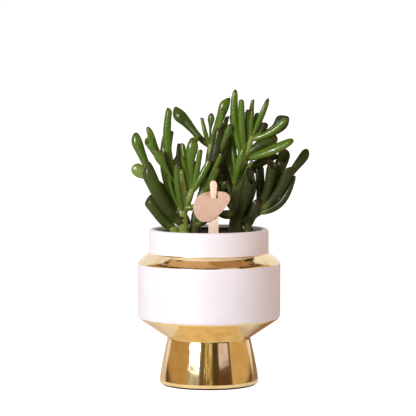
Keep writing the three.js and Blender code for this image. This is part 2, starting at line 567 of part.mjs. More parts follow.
function shootGeometry(stems, leaves) {
  const whole = wasm.Manifold.union([...stems.map(stem), ...leaves.map(leaf)]).simplify(SMOOTHING);
  const [body] = whole.decompose().sort((a, b) => b.volume() - a.volume());
  return geometryOf(body);
}

// Materials

function material(color, roughness, metalness = 0) {
  return new THREE.MeshStandardMaterial({ color, roughness, metalness });
}

const glaze = material(0xf4f1f5, 0.25);
const blackPlastic = material(0x1c1b1a, 0.6);
const soilMaterial = material(0x3b2c22, 0.95);
const paleWood = material(0xf2dcc6, 0.7);
const kraftCard = material(0xe3bd9c, 0.85);
const leafGreen = material(0x527a2c, 0.4);

// The whole object

const group = new THREE.Group();

function add(name, geometry, finish) {
  const mesh = new THREE.Mesh(geometry, finish);
  mesh.name = name;
  group.add(mesh);
}

add('pot', potGeometry(), glaze);
add('nursery_pot', nurseryPotGeometry(), blackPlastic);
add('soil', soilGeometry(), soilMaterial);
add('stake', stakeGeometry(), paleWood);
add('tag', tagGeometry(), kraftCard);
add('left_shoot', shootGeometry(LEFT_STEMS, LEFT_LEAVES), leafGreen);
add('centre_shoot', shootGeometry(CENTRE_STEMS, CENTRE_LEAVES), leafGreen);
add('right_shoot', shootGeometry(RIGHT_STEMS, RIGHT_LEAVES), leafGreen);

export default group;
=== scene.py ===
"""A hobbit jade in its pot: the finished surfaces, the plain stage and the camera.

Every piece is in metres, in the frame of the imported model, and stands at the origin, with its place
in its mesh.
"""

import math
import random

import bmesh
import bpy
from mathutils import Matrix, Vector, noise


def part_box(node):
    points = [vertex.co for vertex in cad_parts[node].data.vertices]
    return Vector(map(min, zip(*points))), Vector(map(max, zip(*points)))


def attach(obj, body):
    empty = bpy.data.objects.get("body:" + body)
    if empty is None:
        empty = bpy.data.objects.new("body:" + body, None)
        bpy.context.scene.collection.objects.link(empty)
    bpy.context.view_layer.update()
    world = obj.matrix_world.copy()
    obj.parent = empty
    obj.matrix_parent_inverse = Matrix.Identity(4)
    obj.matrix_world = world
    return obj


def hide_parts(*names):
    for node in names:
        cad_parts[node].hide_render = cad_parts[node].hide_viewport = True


bl_info = {
    "name": "Potted hobbit jade",
    "version": (1, 0, 0),
    "blender": (4, 5, 0),
    "location": "View3D > Sidebar > Jade",
    "description": "Models a potted hobbit jade with its stake and tag, and a plain stage",
    "category": "Object",
}

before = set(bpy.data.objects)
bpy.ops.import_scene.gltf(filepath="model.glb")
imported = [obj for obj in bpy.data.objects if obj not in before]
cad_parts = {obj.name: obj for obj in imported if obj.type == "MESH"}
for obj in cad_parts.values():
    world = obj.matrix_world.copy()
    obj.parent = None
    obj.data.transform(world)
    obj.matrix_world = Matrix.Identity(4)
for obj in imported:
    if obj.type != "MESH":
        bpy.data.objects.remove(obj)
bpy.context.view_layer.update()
MM = 0.001
SEED = 7


# Sizes of the pieces in millimetres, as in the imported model

POT_SIDES = 128
FOOT_RADIUS = 43.7
WAIST_RADIUS = 36.4
WAIST_HEIGHT = 41
BODY_RADIUS = 62.9
BODY_BOTTOM = 59
BODY_TOP = 107.8
COLLAR_RADIUS = 52.5
COLLAR_BOTTOM = 116
RIM_HEIGHT = 137
WALL = 5
FLOOR = 6
CORNER = 2.6
BULGE = 0.45
RIM_ROUNDING = 2.3
RECESS_RADIUS = 30
RECESS_HEIGHT = 1.6
STAND_INNER = 33
STAND_OUTER = 41.3

NURSERY_RIM_RADIUS = 45
NURSERY_RIM_TOP = 134.8
NURSERY_RIM_DEPTH = 4
NURSERY_BASE_RADIUS = 34
NURSERY_WALL = 1.2
NURSERY_RIM_WALL = 2.2
NURSERY_NECK_RADIUS = 43.5
NURSERY_SIDES = 96

# The soil's lumps, clods and grains have a height, and clods and grains also how close they lie
SOIL_TOP = 132.4
SOIL_RINGS = 14
SOIL_SIDES = 72
LUMP_HEIGHT = 0.8
CLODS = (0.9, 0.35)
GRAINS = (0.4, 1.1)
CRUMBS = 620
CRUMB_SIZES = (0.5, 1.5)
CRUMB_TILT = 0.6

STAKE_X = 3.9
STAKE_Y = -30
STAKE_THICKNESS = 1.7
STAKE_EDGE = 0.3
# The stake's rows are height and half width, from its buried foot to its round head
STAKE_ROWS = [
    (98, 1.8), (106, 4.45), (154, 4.45), (158, 4.1), (161.5, 3), (164.5, 2.3), (167, 2.35), (170, 2.6),
    (174, 3), (177, 3.15), (178.8, 2.85), (180.1, 2.1), (180.8, 1.2), (181, 0.5),
]

# The card's rows are height, left edge and right edge
CARD_THICKNESS = 0.9
CARD_EDGE = 0.15
CARD_GAP = 0.3
CARD_COLUMNS = 36
CARD_STEPS = 4
CARD_ROWS = [
    (145.4, -5.6, -1.2), (146.1, -7.6, 0.8), (148, -9.9, 4.3), (151, -11.9, 8.2), (154.5, -13.2, 11.8),
    (158, -13.8, 14.6), (161.5, -13.2, 16.9), (164, -12, 18), (165.6, -11.1, 18.3), (168, -9.1, 17.7),
    (169.8, -6.2, 16.1), (170.9, -2.9, 14.2), (171.5, 0.6, 11.4),
]
SLIT_BOTTOM = 165.7
SLIT_TOP = 167.9
SLIT_LEFT = 1.2
SLIT_RIGHT = 7.6
BOW_DEPTH = 3.4
BOW_REACH = 5.4

# Leaf forms. rows go from the root to the end: the share of the length, the width as a share of the
# full width, and how far the row is shifted sideways, in full widths. thick and flat are the thickness
# over the width at the root and at the end. slant is the length of the slanting end and cup the depth
# of its dish, both in widths.
FORMS = {
    "finger": dict(
        rows=[(0, 0.54, 0), (0.14, 0.76, 0), (0.3, 0.94, 0), (0.45, 1, 0), (0.68, 0.96, 0), (0.88, 0.88, 0),
              (1, 0.8, 0)],
        thick=0.95, flat=0.9, slant=0.3, cup=0, tip="round"),
    "horn": dict(
        rows=[(0, 0.5, 0), (0.2, 0.64, 0), (0.45, 0.82, 0), (0.7, 0.93, 0), (0.88, 1, 0), (1, 0.98, 0)],
        thick=0.95, flat=0.88, slant=0.75, cup=0.6, tip="open"),
    "bowl": dict(
        rows=[(0, 0.44, 0), (0.2, 0.58, 0), (0.45, 0.76, 0), (0.7, 0.9, 0), (0.88, 0.98, 0), (1, 1, 0)],
        thick=0.95, flat=0.88, slant=1.15, cup=0.5, tip="open"),
    "dish": dict(
        rows=[(0, 0.36, 0), (0.3, 0.36, 0), (0.55, 0.38, 0), (0.72, 0.5, 0), (0.87, 0.8, 0), (1, 1, 0)],
        thick=0.95, flat=0.85, slant=0.85, cup=0.3, tip="open"),
    "hoof": dict(
        rows=[(0, 0.56, 0), (0.22, 0.72, 0), (0.45, 0.82, 0), (0.65, 0.9, -0.03), (0.77, 0.97, -0.08),
              (0.85, 0.98, -0.14), (0.915, 0.72, -0.08), (0.965, 0.42, -0.01), (1, 0.14, 0)],
        thick=0.95, flat=0.85, slant=0, cup=0, tip="point"),
    "wing": dict(
        rows=[(0, 0.31, 0), (0.2, 0.46, -0.03), (0.4, 0.55, -0.03), (0.55, 0.63, 0), (0.68, 0.82, -0.03),
              (0.79, 1, -0.09), (0.88, 0.86, -0.12), (0.95, 0.54, -0.07), (1, 0.14, 0)],
        thick=0.95, flat=0.6, slant=0, cup=0, tip="point"),
    "paddle": dict(
        rows=[(0, 0.3, 0), (0.3, 0.28, 0), (0.52, 0.36, 0), (0.65, 0.56, 0), (0.75, 0.86, 0), (0.84, 1, 0),
              (0.92, 0.82, 0), (0.97, 0.52, 0), (1, 0.18, 0)],
        thick=0.95, flat=0.65, slant=0, cup=0, tip="point"),
    "club": dict(
        rows=[(0, 0.46, 0), (0.3, 0.56, 0), (0.55, 0.6, 0), (0.7, 0.68, 0), (0.82, 0.92, -0.04),
              (0.89, 1, -0.08), (0.945, 0.88, -0.06), (0.985, 0.54, -0.01), (1, 0.18, 0)],
        thick=0.95, flat=0.75, slant=0, cup=0, tip="point"),
    "disc": dict(
        rows=[(0, 0.4, 0), (0.4, 0.42, 0), (0.62, 0.48, 0), (0.73, 0.7, 0), (0.8, 0.91, 0), (0.87, 1, 0),
              (0.94, 0.87, 0), (0.98, 0.58, 0), (1, 0.24, 0)],
        thick=0.95, flat=0.35, slant=0, cup=0, tip="point"),
    "blade": dict(
        rows=[(0, 0.5, 0), (0.2, 0.72, 0), (0.4, 0.93, 0), (0.58, 1, 0), (0.77, 0.95, 0), (0.9, 0.8, 0),
              (0.965, 0.56, 0), (1, 0.2, 0)],
        thick=0.85, flat=0.65, slant=0, cup=0, tip="point"),
}
LEAF_SIDES = 10
# The rows of a tip are height, as a share of the tip's own, and width, as a share of the leaf's end
TIPS = {
    "point": [],
    "round": [(0.5, 0.92), (0.85, 0.74), (1, 0.46), (1, 0.16)],
    "open": [(0.5, 1), (0.9, 0.97), (1, 0.89), (0.7, 0.81), (-0.6, 0.68), (-2, 0.5), (-2.8, 0.22)],
}
# The height of each tip over half the width of the leaf's end
TIP_HEIGHTS = {"point": 0, "round": 0.95, "open": 0.35}
# How far the reddest place of each tip is from its middle, over half its thickness
PEAKS = {"point": 0, "round": -0.35, "open": -0.8}
# The row of a dished tip that is its lip, and the height of such a row over half the leaf's width
LIP_ROW = 2.9
LIP_ROW_HEIGHT = 0.3
# Where the wall of a dish goes down: how far inside its rim, as shares of its radius
DISH_WALL = (0.1, 0.8)
# The height of a tip on a straight leaf of length 1, and the longest slant as a share of the leaf
TIP_SCALE = 0.1
LONGEST_SLANT = 0.5
# How far a leaf's open face leans in towards the stem
INWARD_LEAN = 0.6
# The height of the lumps on a leaf, the width from which a leaf has them in full, and how close they lie
SWELL = 0.5
SWELL_WIDTH = 8
SWELL_SCALE = 0.13

# Stems are rows of x, y, z and radius. Leaves are a form, a root, a tip, how far the middle of the leaf
# is bowed aside, a width and, where it isn't up and in towards the stem, the side of the open face.

LEFT_STEMS = [
    [(-22, -10, 104, 4.4), (-22, -10, 120, 4.4), (-22, -10, 134, 4.4), (-22.6, -10, 142, 4.6),
     (-23.6, -9.5, 151, 4.7), (-22.8, -8, 165, 3.7), (-23, -6, 178, 3.2), (-24, -5, 189, 2.6)],
    [(-29.4, -11, 104, 3.9), (-29.4, -11, 120, 3.9), (-29.4, -11, 134, 3.9), (-31.5, -11, 139, 3.6)],
    [(-23, -9, 152, 2.6), (-19.4, -8.5, 161, 2.9), (-15.4, -7, 169.5, 3.1), (-14.6, -6, 174, 2.2)],
]
LEFT_LEAVES = [
    ("hoof", (-23, -12, 141), (-52.4, -22, 197.2), (-4.6, -2, -3.4), 13.6, (0, -1, 0)),
    ("hoof", (-29, -10, 136), (-50.8, -12, 167.8), (-2.8, 0, -2), 13.4, (0, -1, 0)),
    ("finger", (-23.5, -8, 151), (-37.4, -1, 220), (-7.7, 0, 0), 8.4, (0.8, 0.4, 0)),
    ("finger", (-25, -6, 166), (-34, -6, 244.2), (-6.4, 0, -1), 8.8, (0.8, -0.2, 0)),
    ("paddle", (-23.5, -7, 168), (-46.9, -22, 207.6), (0, -2, -1), 9, (0, -1, 0)),
    ("finger", (-23, -12, 152), (-28.2, -19, 195), (-1.5, -1, 0), 6.6, (0.6, 0.5, 0)),
    ("finger", (-24, -11, 154), (-35, -15, 187), (-2, 0, -1.5), 4.4),
    ("club", (-24, -7, 150), (-64.3, -4, 221.6), (-5.5, 0, -2), 10.6, (0, -1, 0)),
    ("disc", (-24, -4, 160), (-67.4, 0, 191.4), (0, 0, 2), 13, (0.2, -1, -0.1)),
    ("dish", (-21, -6, 168), (-54.4, -12, 218.4), (-1.6, -1, -1.2), 8.6, (-0.3, -0.95, 0)),
    ("disc", (-24, -4, 170), (-53.8, -3, 226.6), (-1.6, 0, -1), 6.8, (0, -1, 0)),
    ("finger", (-25, -3, 166), (-32, 3, 223.6), (-6, 0, 0), 5.4),
    ("finger", (-23, -10, 147), (-24, -17, 148.5), (0, 0, -0.5), 3.6),
    ("finger", (-23, -10, 143), (-24, -16.5, 144.6), (0, 0, -0.5), 3.6),
    ("finger", (-21.5, -11, 156), (-3, -14, 160), (0, 0, -1), 6.5),
    ("finger", (-15, -7, 168), (-24, -8, 202), (0, 0, 0), 5.2, (0.7, 0.4, 0.3)),
    ("finger", (-15, -7, 170), (-7.5, -8, 207.7), (0.8, 0, 0), 6.2, (-0.6, 0.6, 0)),
    ("finger", (-15, -7, 169), (1.2, -9, 198.8), (0.5, 0, -0.5), 7.2, (0.2, 0.6, 0.5)),
    ("wing", (-15.4, -7, 170), (-14.8, -9, 217.4), (-1.2, 0, 0), 12, (0, 1, 0)),
    ("bowl", (-15.4, -6, 171), (-11.4, -2, 222), (-3, 1, 0), 9.4, (-0.75, -0.3, 0.3)),
    ("finger", (-16, -7, 172), (-23.2, -3, 213), (-1, 0, 0), 6, (0.7, 0.4, 0)),
    ("finger", (-16, -6, 172), (-25.6, 3, 212.5), (-4.6, 0, 0), 5.4),
    ("finger", (-15, -6, 172), (-13.2, 2, 197.5), (0, 0, 0), 5),
    ("horn", (-23, -7, 158), (-34, 28, 196), (0, 3, -3), 9),
    ("paddle", (-22.5, -8, 146), (-32, 30, 170), (0, 2, -4), 9.5),
    ("horn", (-22, -7, 158), (-16, 26, 186), (0, 3, -3), 8.5),
    ("finger", (-23, -5, 178), (-25, 18, 200), (0, 2, -2), 6.5),
    ("finger", (-23, -10, 160), (-37.8, -12.5, 205.6), (-1, 0, 0), 5.4),
    ("finger", (-22, -6, 149), (-17, 9, 140), (-1, 1, 1), 7.6),
    ("horn", (-22, -8, 148), (-13, 8, 182), (0, 0, 0), 9),
    ("finger", (-32.5, -4, 192), (-25.5, 2, 204), (0.5, 0, -0.5), 5.4),
]

CENTRE_STEMS = [
    [(-13.5, -4, 104, 4.1), (-13.5, -4, 120, 4.1), (-13.5, -4, 134, 4.1), (-11.6, -3.8, 147, 4.2),
     (-8, -2.5, 160, 4), (-4, 0, 175, 3.4), (-0.6, 2.5, 191, 3.1), (1.2, 4, 206, 3.1),
     (1.6, 4.5, 211, 2.2)],
]
CENTRE_LEAVES = [
    ("wing", (1, 5, 208), (-30.2, 18, 243.6), (-0.8, 0, -0.7), 12.6, (0, -1, 0)),
    ("finger", (1, 5, 208), (-6.3, 9, 235), (-0.7, 0, 0), 4.6),
    ("paddle", (1, 5, 209), (2.3, 3, 238.4), (-0.4, 0, 0), 6.8, (0.3, 0.8, 0)),
    ("finger", (-1, 0, 176), (9.2, -2, 226.8), (1.5, -1, -1), 11, (-0.3, 0.8, 0)),
    ("wing", (2, 5, 206), (18.4, 2, 252), (-2.4, 0, -0.8), 10.2, (0, -1, 0)),
    ("finger", (2, 3, 204), (12.4, -5, 243), (1, 0, 0), 5.4, (-0.5, 0.7, 0)),
    ("finger", (2, 5, 202), (16.4, 6, 236.5), (1.4, 0, -1), 5.8),
    ("finger", (2, 6, 196), (13.9, 9, 230.5), (1, 0, -1), 7.4),
    ("finger", (-0.5, 1, 188), (18.8, -6, 229.6), (1.5, 0, -1), 6.8, (-0.3, -0.9, 0)),
    ("finger", (-1, 1, 182), (16.8, 2.5, 220), (2, 0, -3), 9.2, (0, -1, 0.2)),
    ("finger", (-5.5, -3, 167), (11, -11, 204.5), (0.5, -1, -0.5), 4.9, (-0.5, 0.6, 0)),
    ("finger", (-6.5, -3, 164), (8.4, -13, 192.3), (1, 0, 0), 7.2, (-0.4, 0.7, 0.3)),
    ("horn", (-7.5, -2, 161), (14, -21, 180.4), (1, -3, -3), 9.6, (0, -0.55, 0.9)),
    ("horn", (-6, -2, 163), (14, 3, 192.5), (1, 0, -3), 10, (0.3, -0.6, 0.7)),
    ("finger", (-9, -3, 154), (11, 2, 176), (1, 0, -2.5), 9),
    ("horn", (0, 3, 190), (6, 38, 214), (0, 3, -3), 9),
    ("paddle", (-4, 0, 174), (-3, 33, 184), (0, 3, -4), 8.5),
    ("finger", (1, 5, 207), (8, 36, 230), (0, 3, -3), 7),
    ("horn", (-7, -2, 162), (3, 34, 176), (0, 3, -4), 9),
    ("finger", (1.4, 5, 209), (10, 22, 236), (0, 2, -2), 5.5),
    ("finger", (-13, -5, 140.5), (1, -10, 149), (1, 0, -1), 8),
]

RIGHT_STEMS = [
    [(23.8, 2, 104, 6.3), (23.8, 2, 120, 6.3), (23.8, 2, 134, 6.3), (23.6, 2, 149, 5.6),
     (24.3, 2, 165, 4.8), (26, 1, 178, 4.4), (29, 1, 192, 4), (32.5, 2, 203.5, 3.8), (35.6, 3, 213, 3.4),
     (37, 3.6, 221, 2.4)],
    [(33.8, -0.5, 104, 4), (33.8, -0.5, 120, 4), (33.8, -0.5, 134, 4), (35.6, -1, 139, 3.7)],
    [(24, 2, 141, 3.4), (33, 0.5, 145.5, 3.5), (43.5, -0.5, 151.5, 3.6), (47, -0.8, 153.6, 2.4)],
]
RIGHT_LEAVES = [
    ("bowl", (24, -1, 139), (38.4, -16, 191), (-0.6, -2, 0), 12.4, (0.75, -0.66, 0.1)),
    ("blade", (31.8, -1, 134), (42.6, -8, 163.4), (0.4, 0, -0.3), 9.2, (0, -1, 0)),
    ("finger", (24, 1, 144), (41.2, -3, 181), (2, 0, -2), 7.8),
    ("finger", (43, 0, 151), (42, 2, 190.5), (1.4, 0, 0), 5.6, (0.8, 0.4, 0)),
    ("finger", (43.5, 1, 151), (46, 7, 192), (1, 0, 0), 6.4),
    ("horn", (43.5, -1, 151.5), (55.8, -8, 198), (2, 0, -1), 10.4, (0.45, -0.5, 0.75)),
    ("bowl", (43.5, 0, 151.5), (68.8, 6, 207.8), (0.4, 0, -2), 12, (0.1, -1, 0.1)),
    ("horn", (45.5, -2, 154), (70.4, -9, 193.8), (4, 0, -2.8), 11, (-0.3, 0.5, 0.8)),
    ("finger", (43, -2, 151), (74, -4, 185.5), (5.2, 0, -7.4), 7.8, (-0.8, 0, 0.6)),
    ("club", (44, 2, 152), (87, 12, 206.4), (1, 0, -1.6), 9.6, (0, 1, 0)),
    ("finger", (23, -1.5, 174), (30.8, -10, 209), (-1.4, -2, 0), 7.6, (-0.3, 0.8, 0)),
    ("finger", (25.5, 0, 174), (39, -6, 197), (0, 0, 2), 4.8),
    ("blade", (31, 0, 198), (73.6, -14, 215.6), (0, -1, -1.5), 10.4, (-0.1, -0.75, 0.65)),
    ("finger", (36, 3, 216), (68.4, -6, 235), (1.5, 0, -4.2), 7.8, (-0.3, -0.5, 0.8)),
    ("wing", (36, 4, 215), (70, 8, 235.2), (2.4, 0, -3.2), 14.6, (0, -1, 0)),
    ("blade", (31.6, 2.6, 199.8), (60, 2, 217.5), (0, 0, 1), 12, (0, -1, 0)),
    ("blade", (30.5, 1, 196), (23.3, -1, 259.3), (-4, 0, 0), 7.8, (0, -1, 0)),
    ("finger", (32, 1, 202), (28.6, -7, 251.5), (-1.8, -1, 0), 7, (0.2, 0.8, 0)),
    ("finger", (36, 3, 216), (38.5, 4, 251), (-0.5, 0, 0), 5.2, (-0.8, 0.2, 0)),
    ("finger", (35, 3, 212), (34.3, -2, 242.5), (-1, 0, 0), 4.6),
    ("finger", (36, 3, 214), (38.2, -3, 241), (-0.7, 0, 0), 5.2, (0.2, 0.8, 0)),
    ("finger", (36.5, 4, 216), (42.8, 10, 239.5), (0, 0, 0), 5.8),
    ("blade", (36.5, 3, 216), (52, 0, 251.6), (0.6, 0, -0.6), 7.4, (-0.7, 0.4, 0.3)),
    ("club", (36.5, 4, 216), (50, 3, 230), (1.5, 0, -2), 8, (0, -1, 0)),
    ("finger", (36.5, 5, 217), (46, 17, 227), (0, 0, 0), 6),
    ("finger", (33, 4, 207), (19.4, 12, 237), (-3, 0, -2), 4.2),
    ("finger", (22, 0, 149.5), (7, -6, 152), (0, 0, -1), 9.6),
    ("finger", (26.5, 2, 182), (52, 9, 198.5), (0, 0, -2), 7),
    ("horn", (27, 2, 186), (62.2, 12.6, 204.2), (0, 0, -1), 10.4),
    ("horn", (23, 4, 150), (8, 17, 186), (-1, 2, -2), 9, (0.2, -0.8, 0.6)),
    ("finger", (23, 4, 160), (13, 13, 198), (-1, 0, -2), 8),
    ("horn", (25, 4, 172), (16, 14, 215), (-2, 1, -2), 8.5, (0.2, -0.8, 0.4)),
    ("finger", (25, 4, 174), (20.4, 10.8, 225.4), (-0.5, 0, 0), 6.6),
    ("horn", (23, 3, 148), (30, 40, 174), (0, 3, -4), 9.5),
    ("horn", (26, 2, 179), (32, 42, 206), (0, 3, -4), 9),
    ("horn", (43.5, 0, 152), (54, 34, 180), (0, 3, -4), 9),
    ("finger", (35.5, 3, 213), (34, 34, 240), (0, 3, -3), 7),
    ("paddle", (22.6, 3, 151.4), (17.5, 34, 178), (0, 3, -4), 8.5),
    ("paddle", (30, 1, 196), (45, 30, 210), (0, 2, -3), 8),
    ("finger", (44, 0, 152), (62, 24, 188), (2, 2, -3), 7.5),
    ("finger", (29, 3, 139.5), (36.5, 2, 159), (1, 0, 0), 9),
    ("finger", (27, 4, 178), (31, 9, 222), (0, 0, 0), 9),
]

# How much darker than their place on the stem says some leaves are, by their place in the list.
# This is painted shade, for leaves that stand in shadow in the clump.
PAINTED_SHADE = {
    "left_shoot": {0: 0.5, 1: 0.6, 2: 0.1, 11: 0.5, 21: 0.75, 22: 0.75, 27: 0.6, 28: 1, 29: 1, 30: 1},
    "centre_shoot": {
        0: 0.5, 2: 0.3, 3: 0.9, 7: 0.7, 8: 0.5, 9: 1, 13: 0.4, 15: 0.7, 17: 0.7, 19: 0.7, 20: 0.6,
    },
    "right_shoot": {14: 0.75, 15: 0.75, 19: 0.4, 23: 1, 24: 1, 27: 0.75, 28: 0.75, 40: 1, 41: 1},
}
# Thin leaves, which have no red at their tips, by their place in the list, and how pale they are
THIN = {"left_shoot": {8: 0.5, 9: 0}, "centre_shoot": {}, "right_shoot": {}}
# How fresh a shoot is at its foot, and between which heights it gets quite fresh, for leaves and stems.
# The low values of the centre and right shoots are partly painted shade, for these shoots stand in shadow.
FRESHNESS_AND_SHADE = {"left_shoot": 0.8, "centre_shoot": 0.2, "right_shoot": 0.0}
FRESH_LEAVES = (156, 174)
FRESH_STEMS = (140, 215)
TONE_SPREAD = 0.12
# Height of the knots and of the other lumps on a stem, and a distance beyond every reach on a leaf
KNOT = 0.35
LUMP = 0.45
FAR = 50
# Reaches on a leaf, in millimetres: where the pale joint, the coloured lip and the red lip fade
JOINT_FADE = (1, 12)
LIP_FADE = (0.2, 0.7)
RED_LIP_FADE = (3, 9)
# The freshness over which old looks fade
OLD_FADE = (0.2, 0.7)


# Modelling helpers

RING_TOLERANCE = 0.02


def in_metres(lengths):
    """Lengths in millimetres, turned into metres."""
    return [length * MM for length in lengths]


def smooth_step(value, low, high):
    """Goes smoothly from 0 at low to 1 at high."""
    share = min(max((value - low) / (high - low), 0), 1)
    return share * share * (3 - 2 * share)


def select_only(obj):
    """Deselects everything and makes obj the active object."""
    bpy.ops.object.select_all(action="DESELECT")
    obj.select_set(True)
    bpy.context.view_layer.objects.active = obj


def started(name):
    """The primitive that was just added, under its own name."""
    obj = bpy.context.object
    obj.name = name
    obj.data.name = name
    return obj


def edit(obj):
    """Opens obj in edit mode with nothing selected, and gives its mesh."""
    select_only(obj)
    bpy.ops.object.mode_set(mode="EDIT")
    bpy.ops.mesh.select_all(action="DESELECT")
    return bmesh.from_edit_mesh(obj.data)


def leave_edit():
    """Goes back to object mode."""
    bpy.ops.object.mode_set(mode="OBJECT")


def pick(mesh, test, kind="verts"):
    """Selects the vertices, edges or faces that pass the test."""
    bpy.ops.mesh.select_all(action="DESELECT")
    for element in getattr(mesh, kind):
        if test(element):
            element.select_set(True)
    if kind == "verts":
        mesh.select_flush(True)
    bmesh.update_edit_mesh(bpy.context.object.data)


def apply_modifier(obj, kind, **settings):
    """Adds a modifier to obj with its settings and applies it."""
    select_only(obj)
    modifier = obj.modifiers.new(kind.title(), kind)
    for key, value in settings.items():
        setattr(modifier, key, value)
    bpy.ops.object.modifier_apply(modifier=modifier.name)


def settle(obj):
    """Moves the object's place into its mesh."""
    select_only(obj)
    bpy.ops.object.transform_apply(location=True, rotation=True, scale=True)


def face_outwards(obj):
    """Merges doubled points and turns all the faces outwards."""
    mesh = edit(obj)
    pick(mesh, lambda vert: True)
    bpy.ops.mesh.remove_doubles(threshold=0.01 * MM)
    bpy.ops.mesh.select_all(action="SELECT")
    bpy.ops.mesh.normals_make_consistent(inside=False)
    leave_edit()


def smooth(obj, angle=35):
    """Shades obj smooth, apart from edges that turn by more than the angle in degrees."""
    select_only(obj)
    bpy.ops.object.shade_smooth_by_angle(angle=math.radians(angle))


def joined(name, objects):
    """Joins the objects into one piece."""
    bpy.ops.object.select_all(action="DESELECT")
    for obj in objects:
        obj.select_set(True)
    bpy.context.view_layer.objects.active = objects[0]
    bpy.ops.object.join()
    whole = bpy.context.object
    whole.name = name
    whole.data.name = name
    return whole


def seat(obj, slot, finish, *nodes):
    """Gives a finished piece its material and its place in the part."""
    obj.data.materials.clear()
    obj.data.materials.append(finish)
    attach(obj, "root")
    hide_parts(*nodes)


def round_edges(obj, width, segments):
    """Bevels the edges of obj that turn by 60 degrees or more."""
    apply_modifier(
        obj, "BEVEL", width=width * MM, segments=segments, limit_method="ANGLE", angle_limit=math.radians(60))


def extrude_up(rise):
    """Extrudes what is selected upwards, by millimetres."""
    bpy.ops.mesh.extrude_region_move(TRANSFORM_OT_translate={"value": (0, 0, rise * MM)})


def widen(x, y, centre):
    """Scales what is selected along X and Y about a point in millimetres."""
    bpy.ops.transform.resize(value=(x, y, 1), center_override=in_metres(centre))


def turned(name, rings, sides=POT_SIDES):
    """A turned piece: a ring of points is extruded and widened along rings of radius, height and
    rounding. The first and the last ring are closed, and each corner with a rounding is bevelled."""
    (first, height, _), *rest = rings
    bpy.ops.mesh.primitive_circle_add(vertices=sides, radius=first * MM, location=(0, 0, height * MM))
    obj = started(name)
    settle(obj)
    mesh = edit(obj)
    bpy.ops.mesh.select_all(action="SELECT")
    bpy.ops.mesh.edge_face_add()
    pick(mesh, lambda vert: True)
    radius = first
    for wide, high, _ in rest:
        extrude_up(high - height)
        widen(wide / radius, wide / radius, (0, 0, high))
        radius, height = wide, high
    leave_edit()
    for wide, high, rounding in rings:
        if rounding:
            mesh = edit(obj)

            def on_ring(edge, wide=wide, high=high):
                return all(
                    abs(vert.co.xy.length / MM - wide) < RING_TOLERANCE
                    and abs(vert.co.z / MM - high) < RING_TOLERANCE
                    for vert in edge.verts
                )

            pick(mesh, on_ring, "edges")
            bpy.ops.mesh.bevel(offset=rounding * MM, segments=5, profile=0.5, clamp_overlap=True)
            leave_edit()
    face_outwards(obj)
    smooth(obj)
    apply_modifier(obj, "WEIGHTED_NORMAL", weight=100, keep_sharp=True)
    return obj


# Shader helpers

class Value:
    """A number that varies over a surface. Arithmetic with it adds Math nodes."""

    def __init__(self, shader, socket):
        self.shader = shader
        self.socket = socket

    def math(self, operation, *values):
        return self.shader.math(operation, *values)

    def __add__(self, other):
        return self.math("ADD", self, other)

    __radd__ = __add__

    def __sub__(self, other):
        return self.math("SUBTRACT", self, other)

    def __rsub__(self, other):
        return self.math("SUBTRACT", other, self)

    def __mul__(self, other):
        return self.math("MULTIPLY", self, other)

    __rmul__ = __mul__

    def __truediv__(self, other):
        return self.math("DIVIDE", self, other)

    def ramp(self, low, high, start, end):
        """Goes smoothly from start at low to end at high."""
        return self.shader.value(
            "ShaderNodeMapRange", "Result", {"interpolation_type": "SMOOTHSTEP"},
            {"Value": self, "From Min": low, "From Max": high, "To Min": start, "To Max": end})

    def rise(self, low, high):
        """Goes smoothly from 0 at low to 1 at high."""
        return self.ramp(low, high, 0.0, 1.0)

    def fall(self, low, high):
        """Goes smoothly from 1 at low to 0 at high."""
        return self.ramp(low, high, 1.0, 0.0)

    def above(self, line, softness):
        """A soft step from 0 under a line to 1 over it."""
        return self.rise(line - softness, line + softness)

    def below(self, line, softness):
        """A soft step from 1 under a line to 0 over it."""
        return self.fall(line - softness, line + softness)


